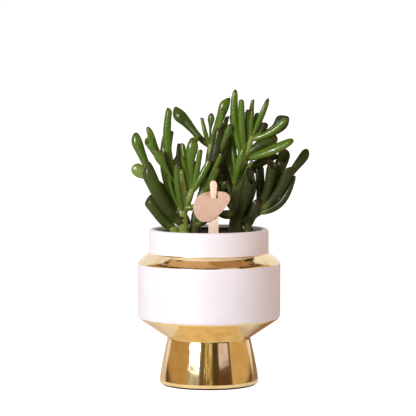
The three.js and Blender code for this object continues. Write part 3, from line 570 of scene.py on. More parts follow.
class Shader:
    """A node tree that is written as expressions."""

    def __init__(self, tree):
        self.tree = tree
        self.tree.nodes.clear()

    def node(self, kind, settings=None, inputs=None):
        """Adds a node of a type, sets its settings and then the values or links of its sockets."""
        made = self.tree.nodes.new(kind)
        for key, value in (settings or {}).items():
            setattr(made, key, value)
        for key, value in (inputs or {}).items():
            socket = made.inputs[key]
            source = value.socket if isinstance(value, Value) else value
            if isinstance(source, bpy.types.NodeSocket):
                self.tree.links.new(source, socket)
            else:
                socket.default_value = source
        return made

    def value(self, kind, output, settings=None, inputs=None):
        """Adds a node and gives one of its outputs as a value."""
        return Value(self, self.node(kind, settings, inputs).outputs[output])

    def math(self, operation, *values):
        return self.value("ShaderNodeMath", 0, {"operation": operation}, dict(enumerate(values)))

    def attribute(self, name):
        """A number that is kept at each point of the mesh."""
        return self.value("ShaderNodeAttribute", "Fac", {"attribute_name": name})

    def place(self, stretch=(1, 1, 1)):
        """The place on the piece, stretched along its axes."""
        coordinates = self.node("ShaderNodeTexCoord").outputs["Object"]
        if stretch == (1, 1, 1):
            return coordinates
        inputs = {"Vector": coordinates, "Scale": stretch}
        return self.node("ShaderNodeMapping", None, inputs).outputs["Vector"]

    def axis(self, letter):
        """One coordinate of the place on the piece."""
        return self.value("ShaderNodeSeparateXYZ", letter, inputs={"Vector": self.place()})

    def noise(self, scale, detail=2.0, roughness=0.5, stretch=(1, 1, 1), place=None):
        """Noise between 0 and 1, over the piece or over the place that is given."""
        place = place or self.place(stretch)
        inputs = {"Vector": place, "Scale": scale, "Detail": detail, "Roughness": roughness}
        return self.value("ShaderNodeTexNoise", "Fac", None, inputs)

    def cells(self, scale, stretch=(1, 1, 1)):
        """The distance to the nearest of many scattered points."""
        inputs = {"Vector": self.place(stretch), "Scale": scale}
        return self.value("ShaderNodeTexVoronoi", "Distance", None, inputs)

    def blend(self, share, first, second):
        """Goes from the first colour to the second. Sockets 0, 6, 7 and 2 are the factor, the two
        colours and the result of a Mix node for colours."""
        return self.node("ShaderNodeMix", {"data_type": "RGBA"}, {0: share, 6: first, 7: second}).outputs[2]

    def bump(self, height, distance, strength=1.0, under=None):
        """Normals of a relief whose height varies, its full height given in metres."""
        inputs = {"Height": height, "Distance": distance, "Strength": strength}
        if under is not None:
            inputs["Normal"] = under
        return self.node("ShaderNodeBump", None, inputs).outputs["Normal"]

    def ray(self, kind):
        """1 for one kind of ray: Camera for what is seen, Glossy for what is mirrored, and Diffuse for
        the soft light that one surface throws on another."""
        return self.value("ShaderNodeLightPath", f"Is {kind} Ray")

    def surface(self, **inputs):
        """Ends the material in a Principled BSDF whose sockets are named with underscores for spaces."""
        named = {key.replace("_", " "): value for key, value in inputs.items()}
        shader = self.node("ShaderNodeBsdfPrincipled", None, named)
        output = self.node("ShaderNodeOutputMaterial")
        self.tree.links.new(shader.outputs["BSDF"], output.inputs["Surface"])


def material(name):
    """A new material, and the shader that writes it."""
    made = bpy.data.materials.new(name)
    made.use_nodes = True
    return made, Shader(made.node_tree)


def paint(red, green, blue):
    """A colour given as on a screen, from 0 to 255, in the linear form that shaders use."""
    linear = []
    for part in (red, green, blue):
        linear.append(((part / 255 + 0.055) / 1.055) ** 2.4 if part > 10 else part / 255 / 12.92)
    return (*linear, 1.0)


def rgba(colour):
    """A colour of the settings, with the full alpha that sockets want."""
    return (*colour, 1.0)


# Settings

def colour_property(name, description, red, green, blue):
    return bpy.props.FloatVectorProperty(
        name=name, description=description, subtype="COLOR", size=3, min=0, max=1,
        default=paint(red, green, blue)[:3])


def share_property(name, description, default):
    return bpy.props.FloatProperty(
        name=name, description=description, subtype="FACTOR", min=0, max=1, default=default)


def length_property(name, description, default, most):
    """A length whose default and upper limit are given in millimetres."""
    return bpy.props.FloatProperty(
        name=name, description=description, unit="LENGTH", min=0, max=most * MM, default=default * MM)


def power_property(name, description, default):
    return bpy.props.FloatProperty(name=name, description=description, unit="POWER", min=0, default=default)


class PlanterSettings(bpy.types.PropertyGroup):
    """The looks of the pot, the nursery pot and the soil."""
    glaze: colour_property("Glaze", "Colour of the glaze on the body and the collar", 245, 242, 246)
    gold: colour_property("Gold", "Colour of the gold on the shoulder, the cone and the foot", 239, 218, 174)
    # The bare clay under the foot is dark brown: partly its own colour, partly painted shade where the foot
    # meets the floor.
    clay_and_shade: colour_property("Clay", "Colour of the bare clay under the foot", 70, 54, 44)
    glaze_roughness: share_property("Glaze roughness", "How soft the reflections in the glaze are", 0.42)
    gold_roughness: share_property("Gold roughness", "How soft the reflections in the gold are", 0.07)
    gold_ripple: length_property("Gold ripple", "Height of the waves in the gold", 0.12, 1)
    edge_wander: length_property("Edge wander", "How far the edge of the gold strays from its line", 0.7, 3)
    plastic: colour_property("Plastic", "Colour of the nursery pot", 26, 25, 25)
    soil: colour_property("Soil", "Colour of the damp soil", 46, 33, 26)
    bark: colour_property("Bark", "Colour of the bits of bark in the soil", 104, 70, 50)


class PlantSettings(bpy.types.PropertyGroup):
    """The looks of the leaves and the stems."""
    young: colour_property("Young leaf", "Colour of the leaves high on a stem", 84, 112, 24)
    old: colour_property("Old leaf", "Colour of the leaves low on a stem", 50, 58, 21)
    joint: colour_property("Joint", "Colour of a leaf where it leaves its stem", 136, 150, 66)
    tip: colour_property("Tip", "Colour of a leaf's tip", 76, 8, 20)
    old_lip: colour_property("Old lip", "Colour of the edge of an old leaf", 128, 108, 72)
    stem: colour_property("Stem", "Colour of the green stems", 146, 166, 78)
    wood: colour_property("Old stem", "Colour of the oldest stems", 74, 76, 40)
    tip_width: length_property("Tip width", "Width of the dark cap at a leaf's tip", 1.5, 5)
    leaf_roughness: share_property("Leaf roughness", "How soft the highlights on the leaves are", 0.24)


class LabelSettings(bpy.types.PropertyGroup):
    """The looks of the stake and its card."""
    wood: colour_property("Stake", "Colour of the wooden stake", 254, 236, 219)
    grain: colour_property("Grain", "Colour of the darker grain in the stake", 238, 207, 180)
    card: colour_property("Card", "Colour of the kraft card", 226, 190, 165)
    fibre: colour_property("Fibre", "Colour of the fibres in the kraft card", 180, 136, 106)


class StageSettings(bpy.types.PropertyGroup):
    """The floor, the lights and the room that the gold mirrors."""
    floor: colour_property("Floor", "Colour of the floor", 226, 234, 246)
    table: colour_property(
        "Mirrored floor", "Colour of the floor on the left in reflections", 246, 230, 214)
    # The mirrored floor on the right is painted shadow, darker where the pot's shadow falls.
    table_in_shadow: colour_property(
        "Mirrored floor, right", "Colour of the floor on the right in reflections", 150, 110, 78)
    backdrop: colour_property("Backdrop", "Colour of the backdrop in reflections", 255, 252, 255)
    room_left: colour_property("Room on the left", "Colour of the room on the left in front", 196, 158, 104)
    room_right: colour_property(
        "Room on the right", "Colour of the room on the right in front", 215, 182, 129)
    ceiling: colour_property("Ceiling", "Colour of the room above the part on the left", 219, 185, 156)
    far_ceiling: colour_property(
        "Ceiling on the right", "Colour of the room above on the right", 176, 138, 104)
    ambient: share_property("Ambient", "Share of the room's light that reaches the part", 0.5)
    key_power: power_property("Key light", "Power of the soft light on the left", 15)
    core_power: power_property(
        "Key core", "Power of the bright middle of the left light, mirrored only", 14)
    side_power: power_property(
        "Side light", "Power of the soft light from the far left, not mirrored", 2.2)
    fill_power: power_property("Fill light", "Power of the soft light on the right", 1.75)
    warm_power: power_property(
        "Warm light", "Power of the warm light from the far right, not mirrored", 4.6)
    top_power: power_property("Top light", "Power of the soft light from above, not mirrored", 2.4)


# Pot

# Heights of the lines that end the gold and the bare clay, and their softness, in millimetres.
# The clay is drawn dark as painted shade where the foot meets the floor.
CONE_GOLD_TOP = BODY_BOTTOM + 0.4
SHOULDER_GOLD_BOTTOM = BODY_TOP - 0.9
SHOULDER_GOLD_TOP = COLLAR_BOTTOM + 0.3
CLAY_AND_SHADE_TOP = 1.75
GOLD_SOFTNESS = 0.12
CLAY_AND_SHADE_SOFTNESS = 0.15
# Where the gold of the foot is wrinkled: its left and right fringe and its upper one, in millimetres
WRINKLES_LEFT = (-32, -24)
WRINKLES_RIGHT = (-13, -7)
WRINKLES_TOP = (36, 40)


def pot_finish(settings):
    """White glaze, with mirror gold on the shoulder, the cone and the foot, and bare clay under it,
    drawn dark brown as painted shade where the foot meets the floor.
    """
    made, shader = material("glaze_and_gold")
    wander = (shader.noise(28, 3) - 0.5) * settings.edge_wander * 2
    height = shader.axis("Z") + wander
    soft = GOLD_SOFTNESS * MM
    shoulder = height.above(SHOULDER_GOLD_BOTTOM * MM, soft) * height.below(SHOULDER_GOLD_TOP * MM, soft)
    # The band of bare clay at the bottom of the foot, whose dark colour is partly painted shade.
    clay_and_shade = shader.axis("Z").below(CLAY_AND_SHADE_TOP * MM, CLAY_AND_SHADE_SOFTNESS * MM)
    gold = (height.below(CONE_GOLD_TOP * MM, soft) + shoulder) * (1 - clay_and_shade)
    patches = shader.noise(35, 3)
    glaze = shader.blend(patches.rise(0.3, 0.7), rgba(settings.glaze), paint(240, 238, 243))
    metal = shader.blend(shader.noise(90, 4).rise(0.35, 0.75), rgba(settings.gold), paint(230, 202, 148))
    colour = shader.blend(clay_and_shade, shader.blend(gold, glaze, metal), rgba(settings.clay_and_shade))
    roughness = (
        gold * (settings.gold_roughness + patches * 0.05)
        + (1 - gold) * (settings.glaze_roughness + patches * 0.1)
        + clay_and_shade * 0.4
    )
    across, up = shader.axis("X"), shader.axis("Z")
    beside = across.rise(*in_metres(WRINKLES_LEFT)) * across.fall(*in_metres(WRINKLES_RIGHT))
    wrinkled = beside * up.fall(*in_metres(WRINKLES_TOP))
    wrinkles = shader.bump(shader.noise(75, 1), 0.5 * MM, wrinkled)
    ripples = shader.bump(shader.noise(55, 1), settings.gold_ripple, under=wrinkles)
    dimples = shader.bump(shader.noise(260, 2), 0.02 * MM, under=ripples)
    shader.surface(Base_Color=colour, Roughness=roughness, Metallic=gold, Normal=dimples)
    return made


def model_pot():
    """The turned pot, from the recess under its foot, up the outside, over the rim and down the inside."""
    inner = COLLAR_RADIUS - WALL
    slope = (BODY_BOTTOM - WAIST_HEIGHT) / (BODY_RADIUS - WAIST_RADIUS)
    cone_drop = WALL * math.hypot(1, slope)
    body_inner = BODY_RADIUS - WALL
    waist_inner = WAIST_RADIUS - WALL
    waist_mid = (FOOT_RADIUS + WAIST_RADIUS) / 2
    return turned("pot_shell", [
        (RECESS_RADIUS, RECESS_HEIGHT, 0.6),
        (STAND_INNER, 0, 0.6),
        (STAND_OUTER, 0, 0.4),
        (STAND_OUTER, 1.3, 0),
        (FOOT_RADIUS - 0.6, 1.4, 0.5),
        (FOOT_RADIUS, 3.6, 1.2),
        (waist_mid + BULGE * 0.75 + 1.9, 13, 0),
        (waist_mid + BULGE, 22.5, 0),
        (waist_mid + BULGE * 0.75 - 1.9, 32, 0),
        (WAIST_RADIUS + 0.3, WAIST_HEIGHT - 0.9, 0.4),
        (WAIST_RADIUS + 0.1, WAIST_HEIGHT + 0.3, 0.3),
        (BODY_RADIUS, BODY_BOTTOM + 0.2, CORNER),
        (BODY_RADIUS, BODY_TOP - 0.6, CORNER),
        ((BODY_RADIUS + COLLAR_RADIUS) / 2 + BULGE, (BODY_TOP + COLLAR_BOTTOM) / 2 + BULGE, 0),
        (COLLAR_RADIUS + 0.4, COLLAR_BOTTOM - 0.3, 0.3),
        (COLLAR_RADIUS, COLLAR_BOTTOM + 0.5, 0.4),
        (COLLAR_RADIUS, RIM_HEIGHT, RIM_ROUNDING),
        (inner, RIM_HEIGHT, RIM_ROUNDING),
        (inner, COLLAR_BOTTOM - 1, 1),
        (body_inner, BODY_TOP - 3, 1.5),
        (body_inner, BODY_BOTTOM + cone_drop - WALL * slope, 1.5),
        (waist_inner, WAIST_HEIGHT + cone_drop - WALL * slope, 1.5),
        (waist_inner, WAIST_HEIGHT - 1, 1),
        (FOOT_RADIUS - WALL - 1.4, FLOOR + 1.5, 1),
        (FOOT_RADIUS - WALL - 3, FLOOR, 0),
        (2, FLOOR, 0),
    ])


class JADE_OT_pot(bpy.types.Operator):
    """Models the footed ceramic pot with its white glaze and gold bands"""
    bl_idname = "jade.pot"
    bl_label = "Pot"

    def execute(self, context):
        seat(model_pot(), "pot", pot_finish(context.scene.planter), "pot")
        return {"FINISHED"}


# Nursery pot

def plastic_finish(settings):
    """Black moulded plastic with a fine grain and a little dust."""
    made, shader = material("black_plastic")
    grain = shader.noise(1800, 2)
    dust = shader.noise(70, 4).rise(0.5, 0.8)
    shader.surface(
        Base_Color=shader.blend(dust * 0.4, rgba(settings.plastic), paint(72, 64, 58)),
        Roughness=0.42 + dust * 0.25,
        Normal=shader.bump(grain, 0.05 * MM),
    )
    return made


def model_nursery_pot():
    """The thin nursery pot with its thick rim, which stands on the inside of the pot's cone."""
    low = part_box("nursery_pot")[0].z / MM
    top = NURSERY_RIM_TOP
    step = top - NURSERY_RIM_DEPTH
    neck = NURSERY_NECK_RADIUS
    return turned("nursery_pot_shell", [
        (NURSERY_BASE_RADIUS - 6, low + 0.8, 0),
        (NURSERY_BASE_RADIUS - 4, low, 0.4),
        (NURSERY_BASE_RADIUS, low, 0.8),
        (neck - 0.6, step - 9, 0),
        (neck, step, 0.3),
        (NURSERY_RIM_RADIUS, step + 0.3, 0.3),
        (NURSERY_RIM_RADIUS, top, 0.7),
        (NURSERY_RIM_RADIUS - NURSERY_RIM_WALL, top, 0.7),
        (neck - NURSERY_WALL, step, 0.3),
        (NURSERY_BASE_RADIUS - NURSERY_WALL, low + NURSERY_WALL, 0),
        (2, low + NURSERY_WALL, 0),
    ], NURSERY_SIDES)


class JADE_OT_nursery_pot(bpy.types.Operator):
    """Models the black nursery pot that hangs inside the pot"""
    bl_idname = "jade.nursery_pot"
    bl_label = "Nursery pot"

    def execute(self, context):
        seat(model_nursery_pot(), "nursery_pot", plastic_finish(context.scene.planter), "nursery_pot")
        return {"FINISHED"}


# Soil

def soil_finish(settings):
    """Damp dark soil with lighter crumbs."""
    made, shader = material("damp_soil")
    clods = shader.noise(240, 6, 0.7)
    bits = shader.noise(700, 3)
    shader.surface(
        Base_Color=shader.blend(bits.rise(0.52, 0.72), rgba(settings.soil), rgba(settings.bark)),
        Roughness=0.75 + clods * 0.2,
        Normal=shader.bump(clods + bits * 0.5, 0.8 * MM),
    )
    return made


def soil_height(x, y):
    """Height of the soil's lumpy top in millimetres."""
    lumps = math.sin(0.31 * x + 1) * math.cos(0.27 * y - 0.6) + 0.6 * math.sin(0.62 * x - 0.47 * y)
    return SOIL_TOP + LUMP_HEIGHT * lumps


def strew_crumbs(reach):
    """Copies of one lumpy crumb, each with its own place, size and turn, out to a radius."""
    draw = random.Random(SEED)
    bpy.ops.mesh.primitive_ico_sphere_add(subdivisions=2, radius=1)
    crumb = started("crumb")
    for vert in crumb.data.vertices:
        vert.co *= 1 + 0.45 * noise.noise(vert.co * 1.7)
    crumbs = []
    for _ in range(CRUMBS):
        radius = reach * math.sqrt(draw.random())
        turn = draw.uniform(0, math.tau)
        x, y = radius * math.cos(turn), radius * math.sin(turn)
        size = draw.uniform(*CRUMB_SIZES)
        copy = bpy.data.objects.new("crumb", crumb.data.copy())
        bpy.context.collection.objects.link(copy)
        copy.location = Vector((x, y, soil_height(x, y) + 0.15 * size)) * MM
        copy.scale = Vector((size, size * draw.uniform(0.5, 1), size * draw.uniform(0.35, 0.8))) * MM
        tilts = [draw.uniform(-CRUMB_TILT, CRUMB_TILT) for _ in range(2)]
        copy.rotation_euler = (*tilts, turn * 3)
        crumbs.append(copy)
    bpy.data.objects.remove(crumb)
    return crumbs


def model_soil():
    """The soil with its lumpy top, strewn with crumbs of soil and bark."""
    low, high = (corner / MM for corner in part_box("soil"))
    top_radius = high.x - 0.1
    base_radius = NURSERY_BASE_RADIUS - NURSERY_WALL - 0.4
    rings = [(base_radius - 2, low.z, 0), (base_radius, low.z + 0.5, 0)]
    shares = [1 - (i / SOIL_RINGS) ** 1.1 for i in range(SOIL_RINGS)]
    rings += [(top_radius * share, SOIL_TOP, 0) for share in shares]
    ground = turned("soil_ground", rings, SOIL_SIDES)
    for vert in ground.data.vertices:
        x, y, z = vert.co / MM
        if z > SOIL_TOP - 1:
            rough = sum(
                noise.noise(Vector((x, y, layer)) * close) * tall
                for layer, (tall, close) in ((0, CLODS), (5, GRAINS))
            )
            vert.co.z = (soil_height(x, y) + rough - 0.2) * MM
    smooth(ground, 60)
    whole = joined("soil_and_crumbs", [ground, *strew_crumbs(top_radius - 0.8)])
    settle(whole)
    return whole


class JADE_OT_soil(bpy.types.Operator):
    """Models the soil and strews its crumbs"""
    bl_idname = "jade.soil"
    bl_label = "Soil"

    def execute(self, context):
        seat(model_soil(), "soil", soil_finish(context.scene.planter), "soil")
        return {"FINISHED"}


# Stake

def wood_finish(settings):
    """Pale bare wood with its grain along the stake."""
    made, shader = material("bare_wood")
    lines = shader.noise(900, 4, 0.6, (1, 1, 0.03))
    broad = shader.noise(240, 3, 0.5, (1, 1, 0.05))
    grain = (lines * 0.6 + broad * 0.6).rise(0.42, 0.85)
    shader.surface(
        Base_Color=shader.blend(grain, rgba(settings.wood), rgba(settings.grain)),
        Roughness=0.62 + grain * 0.15,
        Normal=shader.bump(lines, 0.12 * MM),
    )
    return made


def model_stake():
    """The stake: a thin box whose top is extruded and narrowed from row to row, with its edges rounded."""
    (foot, foot_half), (first, first_half), *rows = STAKE_ROWS
    bpy.ops.mesh.primitive_cube_add(size=1, location=(STAKE_X * MM, STAKE_Y * MM, (foot + first) / 2 * MM))
    obj = started("wooden_stake")
    obj.scale = Vector((2 * first_half, STAKE_THICKNESS, first - foot)) * MM
    settle(obj)
    mesh = edit(obj)
    pick(mesh, lambda vert: vert.co.z < (foot + 0.1) * MM)
    widen(foot_half / first_half, 1, (STAKE_X, STAKE_Y, foot))
    pick(mesh, lambda face: face.calc_center_median().z > (first - 0.1) * MM, "faces")
    height, half = first, first_half
    for high, wide in rows:
        extrude_up(high - height)
        widen(wide / half, 1, (STAKE_X, STAKE_Y, high))
        height, half = high, wide
    leave_edit()
    face_outwards(obj)
    round_edges(obj, STAKE_EDGE, 3)
    smooth(obj, 40)
    return obj


class JADE_OT_stake(bpy.types.Operator):
    """Models the flat wooden stake with its waist and round head"""
    bl_idname = "jade.stake"
    bl_label = "Stake"

    def execute(self, context):
        seat(model_stake(), "stake", wood_finish(context.scene.label), "stake")
        return {"FINISHED"}


# Tag

def card_finish(settings):
    """Uncoated kraft card with short fibres and flecks."""
    made, shader = material("kraft_card")
    fibres = shader.noise(1400, 5, 0.7, (1, 1, 0.4))
    flecks = shader.noise(2600, 2).rise(0.66, 0.74)
    clouds = shader.noise(160, 3)
    tone = fibres.rise(0.35, 0.75) * 0.35 + clouds.rise(0.3, 0.7) * 0.15 + flecks * 0.45
    shader.surface(
        Base_Color=shader.blend(tone, rgba(settings.card), rgba(settings.fibre)),
        Roughness=0.85,
        Normal=shader.bump(fibres, 0.06 * MM),
    )
    return made


def card_edges(height):
    """Left and right edges of the card at a height, on a smooth line through its rows."""
    rows = CARD_ROWS
    low = max(i for i in range(len(rows) - 1) if rows[i][0] <= height + 1e-6)
    share = (height - rows[low][0]) / (rows[low + 1][0] - rows[low][0])
    edges = []
    for side in (1, 2):
        before = rows[max(low - 1, 0)][side]
        here, there = rows[low][side], rows[low + 1][side]
        after = rows[min(low + 2, len(rows) - 1)][side]
        lead, trail = (there - before) / 2, (after - here) / 2
        square, cube = share ** 2, share ** 3
        edges.append(
            (2 * cube - 3 * square + 1) * here
            + (3 * square - 2 * cube) * there
            + (cube - 2 * square + share) * lead
            + (cube - square) * trail
        )
    return edges


def card_bow(x, z):
    """How far the card is bowed back round the stake, which it passes behind above the slit."""
    share = smooth_step(z, CARD_ROWS[8][0], CARD_ROWS[9][0])
    return BOW_DEPTH * share / (1 + ((x - STAKE_X) / BOW_REACH) ** 6)


def model_tag():
    """The card: a grid laid out between its edges, with its slit cut, bowed round the stake and given
    its thickness."""
    heights = []
    for (low, *_), (high, *_) in zip(CARD_ROWS, CARD_ROWS[1:]):
        heights += [low + (high - low) * i / CARD_STEPS for i in range(CARD_STEPS)]
    heights.append(CARD_ROWS[-1][0])
    bpy.ops.mesh.primitive_grid_add(x_subdivisions=CARD_COLUMNS, y_subdivisions=len(heights) - 1, size=2)
    obj = started("kraft_tag")
    middle = STAKE_Y - STAKE_THICKNESS / 2 - CARD_GAP - CARD_THICKNESS / 2
    for vert in obj.data.vertices:
        height = heights[round((vert.co.y + 1) / 2 * (len(heights) - 1))]
        left, right = card_edges(height)
        across = left + (right - left) * (vert.co.x + 1) / 2
        vert.co = Vector((across, middle, height)) * MM
    mesh = edit(obj)
    cuts = [((x * MM, 0, 0), (1, 0, 0)) for x in (SLIT_LEFT, SLIT_RIGHT)]
    cuts += [((0, 0, z * MM), (0, 0, 1)) for z in (SLIT_BOTTOM, SLIT_TOP)]
    for point, normal in cuts:
        bpy.ops.mesh.select_all(action="SELECT")
        bpy.ops.mesh.bisect(plane_co=point, plane_no=normal)

    def in_slit(face):
        x, _, z = face.calc_center_median() / MM
        return SLIT_LEFT < x < SLIT_RIGHT and SLIT_BOTTOM < z < SLIT_TOP

    pick(mesh, in_slit, "faces")
    bpy.ops.mesh.delete(type="FACE")
    leave_edit()
    for vert in obj.data.vertices:
        x, _, z = vert.co / MM
        vert.co.y += card_bow(x, z) * MM
    apply_modifier(obj, "SOLIDIFY", thickness=CARD_THICKNESS * MM, offset=0)
    round_edges(obj, CARD_EDGE, 2)
    face_outwards(obj)
    smooth(obj, 40)
    return obj


class JADE_OT_tag(bpy.types.Operator):
    """Models the kraft card tag that hangs on the stake"""
    bl_idname = "jade.tag"
    bl_label = "Tag"

    def execute(self, context):
        seat(model_tag(), "tag", card_finish(context.scene.label), "tag")
        return {"FINISHED"}


# Leafy shoots

def row_at(form, share):
    """Width and sideways shift of a leaf at a share of its length, between the rows of its form."""
    rows = form["rows"]
    for (low, *before), (high, *after) in zip(rows, rows[1:]):
        if share <= high:
            part = (share - low) / (high - low)
            return [here + (there - here) * part for here, there in zip(before, after)]
    return rows[-1][1:]


def depth_at(form, share):
    """Thickness of a leaf over its width at a share of its length."""
    return form["thick"] + (form["flat"] - form["thick"]) * share


def model_leaf(name, form):
    """A straight leaf of length 1 and half width 1: a ring that is extruded row by row up to its tip
    and over it."""
    bpy.ops.mesh.primitive_circle_add(vertices=LEAF_SIDES, radius=1)
    obj = started(name)
    mesh = edit(obj)
    bpy.ops.mesh.select_all(action="SELECT")
    bpy.ops.mesh.edge_face_add()
    pick(mesh, lambda vert: True)
    rows = [(share, wide, 2 * shift, depth_at(form, share)) for share, wide, shift in form["rows"]]
    _, end_wide, _, end_deep = rows[-1]
    rows += [(1 + TIP_SCALE * high, end_wide * wide, 0, end_deep) for high, wide in TIPS[form["tip"]]]
    before = (0, 1, 0, 1)
    for high, wide, shift, deep in rows:
        if high != before[0]:
            move = (shift - before[2], 0, high - before[0])
            bpy.ops.mesh.extrude_region_move(TRANSFORM_OT_translate={"value": move})
        wider = wide / before[1]
        deeper = wider * deep / before[3]
        bpy.ops.transform.resize(value=(wider, deeper, 1), center_override=(shift, 0, high))
        before = (high, wide, shift, deep)
    leave_edit()
    mesh = obj.data
    row_of = [i // LEAF_SIDES - len(form["rows"]) + 1 for i in range(len(mesh.vertices))]
    keep_values(mesh, {"row": row_of}, {})
    apply_modifier(obj, "SUBSURF", levels=1, render_levels=1)
    face_outwards(obj)
    smooth(obj, 180)
    return obj


def midrib_at(share, start, middle, end):
    """A place on a leaf's bowed midrib, and the direction there."""
    place = (1 - share) ** 2 * start + 2 * share * (1 - share) * middle + share ** 2 * end
    along = 2 * (1 - share) * (middle - start) + 2 * share * (end - middle)
    return place, along.normalized()


def lip_distance(form, row, x, z, width):
    """How far a point of a straight leaf is from the rim of its end, in millimetres."""
    if form["cup"]:
        return abs(row - LIP_ROW) * LIP_ROW_HEIGHT * width / 2
    if form["tip"] == "round":
        return width
    wide, shift = row_at(form, z)
    return max(wide - abs(x - 2 * shift), 0) * width / 2


def lay_leaf(straight, form, leaf, steady):
    """Lays a copy of a straight leaf on its bowed midrib, slants its end and sinks its dish."""
    _, root, tip, bow, width, *face = leaf
    start, end = Vector(root), Vector(tip)
    middle = (start + end) / 2 + 2 * Vector(bow)
    length = (end - start).length
    outward = Vector((end.x - start.x, end.y - start.y, 0)).normalized()
    open_side = Vector(face[0]) if face else Vector((0, 0, 1)) - INWARD_LEAN * outward
    slant = min(form["slant"] * width / length, LONGEST_SLANT)
    end_wide = form["rows"][-1][1]
    end_deep = end_wide * depth_at(form, 1)
    tip_share = TIP_HEIGHTS[form["tip"]] * end_wide * width / 2 / length
    dish = form["cup"] * width / length
    swell = SWELL * min(width / SWELL_WIDTH, 1)
    mesh = straight.data.copy()
    rows = [0.0] * len(mesh.vertices)
    mesh.attributes["row"].data.foreach_get("value", rows)
    mesh.attributes.remove(mesh.attributes["row"])
    values = {"from_tip": [], "from_lip": [], "from_root": []}
    for vert, row in zip(mesh.vertices, rows):
        x, y, z = vert.co
        if row > 0:
            share = 1 - tip_share + tip_share * (z - 1) / TIP_SCALE
            if form["cup"] and row > LIP_ROW:
                reach = math.hypot(x / end_wide, y / end_deep)
                share -= dish * smooth_step(1 - reach, *DISH_WALL)
        else:
            share = z * (1 - tip_share)
        forward = min(max(y / end_deep, -1), 1)
        share *= 1 - slant * (1 + forward) / 2
        centre, along = midrib_at(share, start, middle, end)
        front = (open_side - open_side.dot(along) * along).normalized()
        sideways = along.cross(front) * x + front * y
        place = centre + sideways * (width / 2)
        place += sideways * noise.noise(place * SWELL_SCALE) * swell
        vert.co = place * MM
        across = math.hypot(x, y - PEAKS[form["tip"]] * end_deep) * width / 2
        values["from_tip"].append(math.hypot((1 - share) * length, across) * MM)
        values["from_lip"].append(lip_distance(form, row, x, z, width) * MM)
        values["from_root"].append(share * length * MM)
    keep_values(mesh, values, steady)
    obj = bpy.data.objects.new("leaf", mesh)
    bpy.context.collection.objects.link(obj)
    return obj


def keep_values(mesh, values, steady):
    """Keeps numbers at the points of a mesh: lists of values, and values that are the same all over."""
    count = len(mesh.vertices)
    for name, numbers in {**values, **{key: [value] * count for key, value in steady.items()}}.items():
        mesh.attributes.new(name, "FLOAT", "POINT").data.foreach_set("value", numbers)


def freshness(low, height, heights):
    """How fresh a place is, which goes up from low between two heights."""
    return low + (1 - low) * smooth_step(height, *heights)


def model_stem(points, fresh):
    """A stem: a curve whose round section follows the radii, made a mesh, with knots along it."""
    curve = bpy.data.curves.new("stem", "CURVE")
    curve.dimensions = "3D"
    curve.bevel_depth = 1
    curve.bevel_resolution = 5
    curve.use_fill_caps = True
    line = curve.splines.new("NURBS")
    line.points.add(len(points) - 1)
    for point, (x, y, z, radius) in zip(line.points, points):
        point.co = (x * MM, y * MM, z * MM, 1)
        point.radius = radius * MM
    line.use_endpoint_u = True
    line.order_u = 3
    line.resolution_u = 8
    obj = bpy.data.objects.new("stem", curve)
    bpy.context.collection.objects.link(obj)
    select_only(obj)
    bpy.ops.object.convert(target="MESH")
    obj = bpy.context.object
    face_outwards(obj)
    bpy.ops.object.shade_smooth()
    mesh = obj.data
    for vert in mesh.vertices:
        place = vert.co / MM
        knot = math.sin(place.z * 0.9 + 2 * noise.noise(place * 0.05)) ** 6
        vert.co += vert.normal * (KNOT * knot + LUMP * noise.noise(place * 0.25)) * MM
    tones = [freshness(fresh, vert.co.z / MM, FRESH_STEMS) for vert in mesh.vertices]
    far = FAR * MM
    steady = {"from_tip": far, "from_lip": far, "from_root": far, "blush": 0.0, "stem": 1.0}
    keep_values(mesh, {"fresh": tones}, steady)
    return obj


def leaf_finish(settings):
    """Waxy leaf: deep green low on the stem and bright high on it, pale at its root and dark red at
    its tip. Old leaves are duller and have a tan lip, and leaves that stand in shadow are painted
    darker and duller in the same way. Stems go from brown green to pale green."""
    made, shader = material("waxy_leaf")
    # Freshness also carries painted shade: leaves that stand in shadow have less of it, so they take the old
    # colour and less gloss.
    fresh = shader.attribute("fresh")
    stem = shader.attribute("stem")
    dull = fresh.fall(*OLD_FADE)
    blotches = shader.noise(70, 3) - 0.5
    ragged = (shader.noise(500, 3) - 0.5) * MM
    from_tip = shader.attribute("from_tip") + ragged
    lip = (shader.attribute("from_lip") + ragged * 0.4).fall(*in_metres(LIP_FADE))
    joint = shader.attribute("from_root").fall(*in_metres(JOINT_FADE))
    cap = from_tip.fall(settings.tip_width, 2.2 * settings.tip_width)
    flush = from_tip.fall(settings.tip_width, 5 * settings.tip_width)
    red_lip = lip * from_tip.fall(*in_metres(RED_LIP_FADE))
    red = cap.math("MAXIMUM", cap, red_lip * 0.8) * shader.attribute("blush")
    leaf = shader.blend((fresh + blotches * 0.6).rise(0.0, 1.0), rgba(settings.old), rgba(settings.young))
    leaf = shader.blend(joint * 0.6, leaf, rgba(settings.joint))
    leaf = shader.blend(flush * 0.2, leaf, rgba(settings.tip))
    leaf = shader.blend(lip * dull * 0.5, leaf, rgba(settings.old_lip))
    leaf = shader.blend(red, leaf, rgba(settings.tip))
    bark = shader.blend((fresh + blotches * 0.4).rise(0.0, 1.0), rgba(settings.wood), rgba(settings.stem))
    scars = shader.cells(260, (1, 1, 1.6)).fall(0.12, 0.2) * stem * 0.5
    colour = shader.blend(scars, shader.blend(stem, leaf, bark), paint(120, 96, 60))
    mottle = shader.noise(900, 2) - 0.5
    pimples = shader.bump(shader.noise(1100, 1), 0.2 * MM)
    shader.surface(
        Base_Color=colour,
        Roughness=settings.leaf_roughness + dull * 0.14 + mottle * 0.1 + stem * 0.2,
        Normal=shader.bump(shader.noise(420, 2), 0.8 * MM, under=pimples),
        Specular_IOR_Level=0.1,
        Coat_Weight=(1 - dull * 0.6) * 0.4,
        Coat_Roughness=0.14,
    )
    return made


